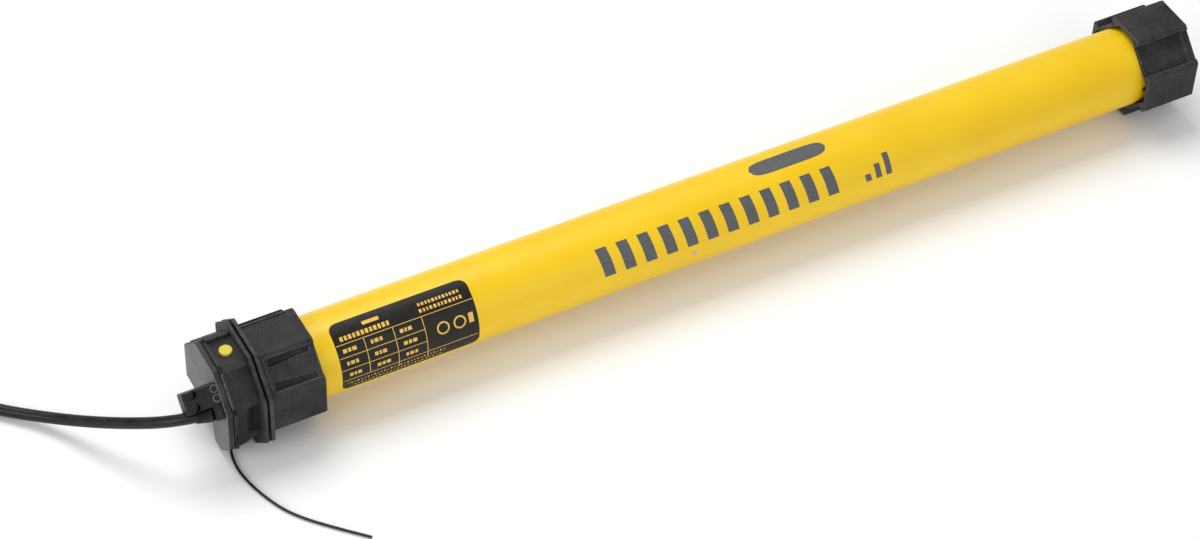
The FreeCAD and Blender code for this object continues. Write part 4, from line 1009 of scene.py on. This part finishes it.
def crown_grooves(rows):
    """On each diagonal side: a bed 1.1 mm deep between the ridges, and beside each ridge a groove whose depth
    falls from 2.6 to 1.3 mm and whose width narrows from 3.9 to 2.1 mm along the axis."""
    x = rows[..., 0]
    ridge = WHEEL_HALF * math.tan(math.pi / 8) - 2.75
    start, end = X_CROWN + 4.6, X_CROWN_END - 3.6
    along = np.clip((x - start) / (end - start), 0, 1)
    for angle in DIAGONALS:
        n, t = on_flat(rows, angle)
        t = np.abs(t)
        bed = 1.1 * smooth(X_CROWN + 2.6, X_CROWN + 3.2, x) * (1 - smooth(ridge - 0.5, ridge, t))
        groove = (2.6 - 1.3 * along) * between(x, start, end, 0.4)
        groove = groove * between(t, ridge - 4.5 + 1.8 * along, ridge - 0.6, 0.3)
        rows = pushed(rows, angle, (bed + groove) * (n > WHEEL_HALF - 1.5) * (x > X_CROWN + 0.2))
    return rows


def drive_wheel():
    """Cup of eight sides: closed end plate with a round recess, walls with a pocket on each diagonal side,
    and an open mouth towards the tube; hub and ribs stand inside."""
    inside_points, inside_normals = rounded(facets([WHEEL_HALF - 2.2, WHEEL_HALF - 5.6] * 4), 0.5, 3)
    angles = shared_angles([octagon(), inside_points])
    outer = [(X_WHEEL, octagon(0.4)), (X_WHEEL + 0.15, octagon(0.12)), (X_WHEEL + 0.45, octagon())]
    outer += [(x, octagon()) for x in np.linspace(X_WHEEL + 0.9, X_END - 0.8, 76)]
    outer += [(X_END - 0.4, octagon(0.12)), (X_END - 0.12, octagon(0.4)), (X_END, octagon(0.85))]
    inner = [(X_END - 4.0, inside_points - 1.5 * inside_normals), (X_END - 4.0, inside_points),
             (X_WHEEL + 0.3, inside_points), (X_WHEEL, inside_points + 0.25 * inside_normals)]
    steps = inner + outer
    cut = rings([outline for _, outline in steps], angles)
    rows = np.array([section(x, ring) for (x, _), ring in zip(steps, cut)])
    rows[len(inner):] = wheel_pockets(rows[len(inner):])
    ray = rays(angles)
    rows = np.concatenate([[section(X_END - 4.0, 12.0 * ray)], rows,
                           [section(x, radius * ray) for x, radius in
                            ((X_END, 20.0), (X_END - 0.5, 19.6), (X_END - 0.5, 9.4), (X_END, 9.0),
                             (X_END, 6.3), (X_END - 0.3, 6.0), (X_END - 3.0, 6.0))]])
    hub = lathe([(X_END - 3.2, 11.6), (X_TUBE_END + 3.6, 12.0), (X_TUBE_END + 3.0, 11.6),
                 (X_TUBE_END + 3.0, 7.4), (X_END - 3.2, 7.4)])
    ribs = [brick((X_TUBE_END + 3.0, X_END - 3.8), (11.2, WHEEL_HALF - 4.6), (-1.0, 1.0), 45.0 * k, 0.3)
            for k in range(8)]
    return make_piece("drive_wheel_shell", [skin(rows), hub] + ribs, ADAPTER_PLASTIC, "output",
                      ["drive_wheel"])


def wheel_pockets(rows):
    """On each diagonal side: a pocket 3.4 mm deep from the mouth to a sloped step, and a lip 1.4 mm deep
    behind it, both between the ridges; a fine groove runs outside each ridge."""
    x = rows[..., 0]
    ridge = WHEEL_HALF * math.tan(math.pi / 8) - 2.6
    for angle in DIAGONALS:
        n, t = on_flat(rows, angle)
        t = np.abs(t)
        floor = 3.4 - 2.0 * smooth(X_END - 6.0, X_END - 4.6, x)
        inside = 1 - smooth(ridge - 0.45, ridge, t)
        line = 0.35 * between(t, ridge + 0.9, ridge + 1.3, 0.2)
        rows = pushed(rows, angle, (floor * inside + line) * (n > WHEEL_HALF - 1.9))
    return rows


# ---------------------------------------------------------------- cords
CABLE_D = 0.0063
WIRE_D = 0.0015
CONDUCTOR_D = 0.0023
COIL_X, COIL_Y = -0.443, 0.064
COIL_STEPS = 16
MAINS_ROUTE = [(-0.2954, -0.02054, 0.03929), (-0.3068, -0.01714, 0.03789), (-0.3168, -0.0109, 0.0339),
               (-0.3267, -0.0003, 0.0272), (-0.343, 0.019, 0.0167), (-0.361, 0.042, 0.0062),
               (-0.382, 0.062, 0.00315), (-0.3965, 0.077, 0.00315), (-0.4085, 0.093, 0.00315),
               (-0.417, 0.101, 0.00315)]
TAIL_ROUTE = [(-0.4845, 0.062, 0.00875), (-0.487, 0.048, 0.00875), (-0.489, 0.033, 0.00475),
              (-0.4875, 0.018, 0.00315), (-0.483, 0.003, 0.00315)]
ANTENNA_ROUTE = [(-0.2842, -0.013, 0.0041), (-0.2854, -0.016, 0.00075), (-0.2868, -0.022, 0.00075),
                 (-0.2873, -0.031, 0.00075), (-0.2854, -0.0425, 0.00075), (-0.2818, -0.054, 0.00075),
                 (-0.2774, -0.0645, 0.00075), (-0.271, -0.074, 0.00075), (-0.2625, -0.0835, 0.00075),
                 (-0.2535, -0.0928, 0.00075), (-0.2452, -0.1011, 0.00075)]


def cord_curve(name, points, diameter, material, stands_for=()):
    """Round cord along a NURBS spline with the route's points as its control points."""
    data = bpy.data.curves.new(name, "CURVE")
    data.dimensions = "3D"
    data.bevel_depth = diameter / 2
    data.bevel_resolution = 6
    data.use_fill_caps = True
    data.resolution_u = 8
    spline = data.splines.new("NURBS")
    spline.points.add(len(points) - 1)
    spline.points.foreach_set("co", np.column_stack([points, np.ones(len(points))]).reshape(-1))
    spline.order_u = 3
    spline.use_endpoint_u = True
    return dress(placed(name, data), material, "motor", stands_for)


def coil_points():
    """Turns of the coil, sixteen points to a turn: about three and a third inwards on the floor, then about
    two and a half outwards on top of them. The radius changes near angle 0 of each turn, and each point
    stands out by 1 / cos(half a step), because the spline runs inside its points."""
    start, end = 77.4, 6 * 360 + 157.5
    turn = np.linspace(start, end, int(round((end - start) / 360 * COIL_STEPS)) + 1)
    radius = np.full(len(turn), 45.0)
    for crossing, step in ((360, -6.4), (720, -6.4), (1080, -6.4), (1395, 3.2), (1800, 6.4), (2160, 6.4)):
        radius += step * smooth(crossing - 35, crossing + 35, turn)
    height = 5.54 * smooth(1280, 1380, turn)
    for crossing in (1800, 2160):
        height += 0.9 * (1 - smooth(0, 60, np.abs(turn - crossing)))
    radius *= MM / math.cos(math.pi / COIL_STEPS)
    angle = np.radians(turn)
    return np.column_stack([COIL_X + radius * np.cos(angle), COIL_Y + radius * np.sin(angle),
                            MAINS_ROUTE[-1][2] + height * MM])


def coil_tie(angle):
    """Flat strap round the coil's section, a rounded rectangle swept into a band, with its locking head."""
    reach, height = (22.2, 48.3), (0.25, 12.9)
    corners = [(reach[0], height[0]), (reach[1], height[0]), (reach[1], height[1]), (reach[0], height[1])]
    points, normals = rounded(corners, 3.0, 6)
    ring = []
    for out, across in ((0.0, -1.6), (0.0, 1.6), (0.55, 1.6), (0.55, -1.6)):
        path = points + out * normals
        path[:, 1] = np.maximum(path[:, 1], 0.05 + 0.05 * out)
        ring.append(np.column_stack([path[:, 0], np.full(len(path), across), path[:, 1]]))
    strap = skin(np.stack(ring, 1), loop=True)
    head = brick((44.0, 49.0), (9.0, 13.9), (-2.4, 2.4), 90.0, 0.6)
    c, s = compass(angle)
    shells = [(np.column_stack([COIL_X / MM + points[:, 0] * c - points[:, 1] * s,
                                COIL_Y / MM + points[:, 0] * s + points[:, 1] * c,
                                points[:, 2] - AXIS]), faces)
              for points, faces in (strap, head)]
    return make_piece("coil_tie_%d" % angle, shells, PLUG_PLASTIC, "motor")


def conductors():
    """Three insulated wires that fan out of the cable's end, each with its bare copper tip."""
    tail = np.array(TAIL_ROUTE[-1]) / MM
    ahead = tail - np.array(TAIL_ROUTE[-2]) / MM
    ahead = ahead / np.linalg.norm(ahead)
    floor = CONDUCTOR_D / 2 / MM
    finishes = (FINISHES["conductor_insulation"],
                cord_jacket("conductor_blue", shade(34, 84, 150), shade(62, 116, 184), 0.4),
                earth_insulation())
    names = ("live", "neutral", "earth")
    for k, angle, finish, name in zip((-1, 0, 1), (210.0, 90.0, 330.0), finishes, names):
        dx, dz = (1.4 * part for part in compass(angle))
        start = tail + (dx, 0.0, dz) + ahead * abs(dx)
        second = start + ahead * 8.0
        x, y = second[:2]
        points = np.array([start, second, (x + 2.5 + 3.0 * k, y - 9.0, floor + 0.3),
                           (x + 3.5 + 6.0 * k, y - 19.0, floor),
                           (x + 3.5 + 8.0 * k, y - 29.0 + 2.0 * k, floor)]) * MM
        cord = cord_curve("conductor_" + name, points, CONDUCTOR_D, finish)
        tip = pointed(lathe([(-1.0, 0.3), (-1.0, 0.62), (2.6, 0.66), (2.9, 0.5), (2.9, 0.2)], 24),
                      points[-1] / MM - (0.0, 0.0, AXIS), points[-1] - points[-2])
        copper = make_piece("copper_tip_" + name, [tip], BARE_COPPER, "motor")
    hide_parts("cable_conductors")


def cords():
    mains = cord_curve("mains_cord", np.vstack([MAINS_ROUTE, coil_points(), TAIL_ROUTE]), CABLE_D,
                       CORD_JACKET, stands_for=["mains_cable", "cable_coil"])
    ties = [coil_tie(120), coil_tie(285)]
    ties + [gland()]
    antenna = cord_curve("aerial_wire", ANTENNA_ROUTE, WIRE_D, CORD_JACKET,
                         stands_for=["antenna_wire"])
    conductors()


# ---------------------------------------------------------------- floor, light and camera
def studio():
    """Pale floor, three large soft lights, and a white sky for the fill."""
    mesh = bpy.data.meshes.new("floor")
    half = 6.0
    mesh.from_pydata([(-half, -half, 0), (half, -half, 0), (half, half, 0), (-half, half, 0)], [],
                     [(0, 1, 2, 3)])
    mesh.transform(Matrix.Translation((0, 0, -0.0003)))
    floor = placed("floor", mesh)
    paper = Finish("floor_paper", 0.9)
    paper.colour(paper.blend(paper.noise(3), (0.93, 0.93, 0.93, 1), (0.96, 0.96, 0.96, 1)))
    mesh.materials.append(paper.material)
    world = bpy.data.worlds.new("studio")
    world.use_nodes = True
    sky = world.node_tree.nodes["Background"].inputs
    sky["Color"].default_value = (1.0, 1.0, 1.0, 1.0)
    sky["Strength"].default_value = 0.5
    bpy.context.scene.world = world
    for name, place, size, power in (("top_light", (-0.1, 0.75, 1.5), 1.0, 17.0),
                                     ("left_light", (-1.7, -0.3, 0.8), 0.9, 9.0),
                                     ("front_light", (0.1, -1.8, 0.9), 1.3, 8.0)):
        data = bpy.data.lights.new(name, "AREA")
        data.size = size
        data.energy = power
        light = bpy.data.objects.new(name, data)
        light.location = place
        light.rotation_euler = (Vector((0, 0, 0.03)) - Vector(place)).to_track_quat("-Z", "Y").to_euler()
        bpy.context.scene.collection.objects.link(light)


def camera():
    data = bpy.data.cameras.new("camera")
    data.lens = 102.345
    data.sensor_width = 36.0
    made = bpy.data.objects.new("camera", data)
    made.location = (-0.702128, -1.119410, 1.331501)
    made.rotation_euler = [math.radians(angle) for angle in (44.4638, -1.6483, -28.1340)]
    bpy.context.scene.collection.objects.link(made)
    bpy.context.scene.camera = made
    bpy.context.scene.view_settings.view_transform = "Standard"


finish_nodes()
springs()
cords()
motor_tube()
label_sheet()
label_print()
tube_print()
front_cover()
head_shell()
plug()
crown()
drive_wheel()
studio()
camera()
